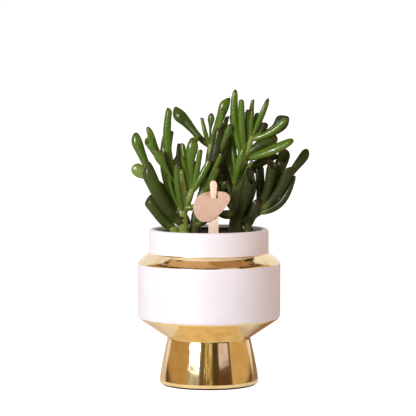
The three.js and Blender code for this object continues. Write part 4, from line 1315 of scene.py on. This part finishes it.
def model_shoot(node, stems, leaves):
    """A shoot: its stems, and a laid copy of the straight leaf of its form for each leaf. Leaves high
    on a shoot are fresher than those low on it, and leaves that stand in shadow are made less fresh
    as painted shade."""
    draw = random.Random(SEED)
    fresh = FRESHNESS_AND_SHADE[node]
    straight = {key: model_leaf(key, form) for key, form in FORMS.items()}
    pieces = [model_stem(points, fresh) for points in stems]
    for count, leaf in enumerate(leaves):
        form, (_, _, height), *_ = leaf
        tone = freshness(fresh, height, FRESH_LEAVES)
        # Painted shade: leaves that stand in shadow lose freshness, which makes them darker and duller.
        tone += draw.uniform(-TONE_SPREAD, TONE_SPREAD) - PAINTED_SHADE[node].get(count, 0)
        blush = 0 if count in THIN[node] else draw.uniform(0.75, 1)
        steady = {"fresh": tone, "blush": blush, "stem": THIN[node].get(count, 0)}
        pieces.append(lay_leaf(straight[form], FORMS[form], leaf, steady))
    for obj in straight.values():
        bpy.data.objects.remove(obj)
    return joined(node + "_leaves", pieces)


class JADE_OT_shoots(bpy.types.Operator):
    """Models the three leafy shoots"""
    bl_idname = "jade.shoots"
    bl_label = "Shoots"

    def execute(self, context):
        finish = leaf_finish(context.scene.plant)
        shoots = {
            "left_shoot": (LEFT_STEMS, LEFT_LEAVES),
            "centre_shoot": (CENTRE_STEMS, CENTRE_LEAVES),
            "right_shoot": (RIGHT_STEMS, RIGHT_LEAVES),
        }
        for node, (stems, leaves) in shoots.items():
            seat(model_shoot(node, stems, leaves), node, finish, node)
        return {"FINISHED"}


# Stage

# The camera's place in millimetres, how far it looks down in degrees, and its focal length and the
# width of the picture in pixels
CAMERA_PLACE = (-0.8, -1900, 289)
CAMERA_PITCH = 4.03
FOCAL_PIXELS = 2170
PICTURE_PIXELS = 416
SENSOR_WIDTH = 36
FLOOR_SIZE = 80
FLOOR_GLOW = 0.62

# Soft lights: turn and lift as seen from the pot, distance and size in metres, and colour. Turns here
# and below go from the camera's side to the right. All angles are in degrees.
LIGHTS = {
    "key": (-37.5, 24, 1.5, (0.66, 0.6), (0.95, 0.96, 1)),
    "core": (-37.5, 24, 1.49, (0.16, 0.2), (0.97, 0.96, 1)),
    "side": (-75, 20, 1.5, (0.8, 0.8), (0.95, 0.97, 1)),
    "fill": (38.5, 32, 1.5, (0.7, 1.0), (0.88, 0.84, 1)),
    "warm": (65, 12, 1.5, (0.8, 0.8), (1, 0.6, 0.4)),
    "top": (10, 72, 1.4, (0.9, 0.9), (1, 0.97, 0.98)),
}
MIRRORED_ONLY = {"core"}
NOT_MIRRORED = {"side", "warm", "top"}

# The room that the gold mirrors. Heights are the upward part of a direction, from 0 to 1. First the
# turns over which the room warms and those over which the backdrop begins, and the backdrop's top.
WARM_TURNS = (-20, 60)
BACKDROP_TURNS = (120, 132)
BACKDROP_TOP = (0.755, 0.775)
# Where the walls begin above the floor and end, where the ceiling begins, and the fringe of its marks
WALL_FOOT = (0.02, 0.06)
WALL_TOP = (0.55, 0.6)
CEILING_FOOT = (0.7, 0.74)
MARKS_FOOT = (0.735, 0.745)
MARKS_TOP = (0.8, 0.81)
# The walls between two turns. Those in shadow also have the strength of it.
GLITTER_WALL = (-12, 9)
SHINY_WALL = (-52, -23)
BROWN_WALL = (25, 53)
SHADOW_WALLS = [(-23, -12, 0.75), (9, 25, 0.88), (53, 57, 0.9)]
WALL_SOFTNESS = 0.8
BLACK = (0, 0, 0, 1)
BEADS = [(0.06, 0.035, 0.01, 1), (0.8, 0.62, 0.24, 1), (1.6, 1.5, 1.2, 1)]
SHINE = [(0.24, 0.22, 0.19, 1), (0.62, 0.6, 0.54, 1)]
BROWN = (0.13, 0.06, 0.02, 1)
SHADOW = (0.02, 0.01, 0.005, 1)
CEILING_MARK = (0.04, 0.02, 0.005, 1)
WHITE_SKY = (1.05, 1.05, 1.05, 1)
WHITE_FLOOR = (1.5, 1.5, 1.5, 1)


def floor_finish(settings):
    """A plain floor that glows a little, as a lit table does. It is white to the camera. Mirrors show it
    dimmer and coloured, with painted shade: its base is darker behind the pot, and there it glows in a
    table's colours that give way to a painted shadow on the right."""
    made, shader = material("pale_floor")
    mirrored = shader.ray("Glossy")
    behind = shader.axis("Y").rise(0.01, 0.07)
    # Painted shadow: in mirrors the table behind the pot goes dark towards the right.
    table = shader.blend(shader.axis("X").rise(-0.04, 0.08), rgba(settings.table), rgba(settings.table_in_shadow))
    glow = shader.blend(shader.ray("Diffuse"), rgba(settings.floor), BLACK)
    glow = shader.blend(mirrored * 0.2, glow, BLACK)
    glow = shader.blend(mirrored * behind, glow, table)
    glow = shader.blend(shader.ray("Camera"), glow, WHITE_FLOOR)
    # Painted shade: in mirrors the floor's own colour is darker behind the pot.
    mirrored_floor = shader.blend(behind, paint(218, 208, 170), paint(140, 118, 90))
    base = shader.blend(mirrored, rgba(settings.floor), mirrored_floor)
    shader.surface(Base_Color=base, Roughness=0.9, Emission_Color=glow, Emission_Strength=FLOOR_GLOW)
    return made


def within(turn, low, high):
    """1 where the turn round the part is between two angles in degrees."""
    edge = math.radians(WALL_SOFTNESS)
    return turn.above(math.radians(low), edge) * turn.below(math.radians(high), edge)


def front_room(shader, settings, direction, turn, up):
    """The room in front of the part: its walls, dark below and above, and its ceiling."""
    warm = turn.rise(*map(math.radians, WARM_TURNS))
    room = shader.blend(warm, rgba(settings.room_left), rgba(settings.room_right))
    glitter = shader.noise(22, place=direction)
    dark_bead, gold_bead, white_bead = BEADS
    beads = shader.blend(glitter.rise(0.42, 0.58), dark_bead, gold_bead)
    beads = shader.blend(glitter.rise(0.6, 0.66), beads, white_bead)
    room = shader.blend(within(turn, *GLITTER_WALL) * 0.95, room, beads)
    room = shader.blend(within(turn, *SHINY_WALL), room, shader.blend(glitter.rise(0.4, 0.6), *SHINE))
    room = shader.blend(within(turn, *BROWN_WALL), room, BROWN)
    for low, high, share in SHADOW_WALLS:
        room = shader.blend(within(turn, low, high) * share, room, SHADOW)
    lit = up.rise(*WALL_FOOT) * up.fall(*WALL_TOP)
    room = shader.blend((1 - lit) * 0.9, room, BLACK)
    ceiling = shader.blend(warm, rgba(settings.ceiling), rgba(settings.far_ceiling))
    return shader.blend(up.rise(*CEILING_FOOT), room, ceiling)


def add_world(settings):
    """A light backdrop behind and a darker room in front and above, which light the part and show in
    its reflections. The camera itself sees plain white."""
    world = bpy.data.worlds.new("studio")
    bpy.context.scene.world = world
    world.use_nodes = True
    shader = Shader(world.node_tree)
    direction = shader.node("ShaderNodeTexCoord").outputs["Generated"]
    east, north, up = (
        shader.value("ShaderNodeSeparateXYZ", letter, None, {"Vector": direction}) for letter in "XYZ")
    turn = shader.math("ARCTAN2", east, 0 - north)
    room = front_room(shader, settings, direction, turn, up)
    behind = shader.math("ABSOLUTE", turn).rise(*map(math.radians, BACKDROP_TURNS)) * up.fall(*BACKDROP_TOP)
    around = shader.blend(behind, room, rgba(settings.backdrop))
    blobs = shader.noise(9, place=direction).rise(0.44, 0.5)
    marks = up.rise(*MARKS_FOOT) * up.fall(*MARKS_TOP) * blobs
    around = shader.blend(marks * 0.9, around, CEILING_MARK)
    sky = shader.blend(shader.ray("Camera"), around, WHITE_SKY)
    strength = 1 - shader.ray("Diffuse") * (1 - settings.ambient * (1 - 0.6 * behind))
    background = shader.node("ShaderNodeBackground", None, {"Color": sky, "Strength": strength})
    output = shader.node("ShaderNodeOutputWorld")
    shader.tree.links.new(background.outputs[0], output.inputs["Surface"])


def add_soft_light(name, power):
    """A rectangular soft light that looks at the pot."""
    turn, lift, distance, size, colour = LIGHTS[name]
    light = bpy.data.lights.new(name, "AREA")
    light.shape = "RECTANGLE"
    light.size, light.size_y = size
    light.energy = power
    light.color = colour
    obj = bpy.data.objects.new(name, light)
    bpy.context.collection.objects.link(obj)
    turn, lift = math.radians(turn), math.radians(lift)
    away = Vector((math.sin(turn) * math.cos(lift), -math.cos(turn) * math.cos(lift), math.sin(lift)))
    obj.location = away * distance
    obj.rotation_euler = away.to_track_quat("Z", "Y").to_euler()
    obj.visible_camera = False
    obj.visible_diffuse = name not in MIRRORED_ONLY
    obj.visible_glossy = name not in NOT_MIRRORED


def add_camera():
    """The camera at the photograph's angle, its focal length worked out from pixels."""
    camera = bpy.data.cameras.new("camera")
    camera.sensor_width = SENSOR_WIDTH
    camera.lens = FOCAL_PIXELS / PICTURE_PIXELS * SENSOR_WIDTH
    camera.clip_end = 100
    obj = bpy.data.objects.new("camera", camera)
    bpy.context.collection.objects.link(obj)
    obj.location = Vector(CAMERA_PLACE) * MM
    obj.rotation_euler = (math.radians(90 - CAMERA_PITCH), 0, 0)
    bpy.context.scene.camera = obj


class JADE_OT_stage(bpy.types.Operator):
    """Adds the plain floor, the soft lights and the camera"""
    bl_idname = "jade.stage"
    bl_label = "Stage"

    def execute(self, context):
        settings = context.scene.stage
        bpy.ops.mesh.primitive_plane_add(size=FLOOR_SIZE)
        floor = started("floor")
        floor.data.materials.append(floor_finish(settings))
        add_world(settings)
        for name in LIGHTS:
            add_soft_light(name, getattr(settings, name + "_power"))
        context.scene.view_settings.view_transform = "Standard"
        add_camera()
        return {"FINISHED"}


class JADE_PT_panel(bpy.types.Panel):
    """Lists the pieces of the potted plant"""
    bl_idname = "JADE_PT_panel"
    bl_label = "Potted hobbit jade"
    bl_space_type = "VIEW_3D"
    bl_region_type = "UI"
    bl_category = "Jade"

    def draw(self, context):
        for operator in OPERATORS:
            self.layout.operator(operator.bl_idname)
        for name in SETTINGS:
            box = self.layout.box()
            group = getattr(context.scene, name)
            for key in group.bl_rna.properties.keys():
                if key not in {"rna_type", "name"}:
                    box.prop(group, key)


OPERATORS = (
    JADE_OT_pot, JADE_OT_nursery_pot, JADE_OT_soil, JADE_OT_stake, JADE_OT_tag, JADE_OT_shoots,
    JADE_OT_stage,
)
SETTINGS = {
    "planter": PlanterSettings, "plant": PlantSettings, "label": LabelSettings, "stage": StageSettings,
}


def register():
    """Registers the classes and hangs the settings on the scene."""
    for made in (*SETTINGS.values(), *OPERATORS, JADE_PT_panel):
        bpy.utils.register_class(made)
    for name, group in SETTINGS.items():
        setattr(bpy.types.Scene, name, bpy.props.PointerProperty(type=group))


def unregister():
    """Takes the settings and the classes out again."""
    for name in SETTINGS:
        delattr(bpy.types.Scene, name)
    for made in (JADE_PT_panel, *reversed(OPERATORS), *reversed(SETTINGS.values())):
        bpy.utils.unregister_class(made)


def main():
    """Makes every piece and the stage."""
    register()
    for operator in OPERATORS:
        group, name = operator.bl_idname.split(".")
        getattr(getattr(bpy.ops, group), name)()


if __name__ == "__main__":
    main()
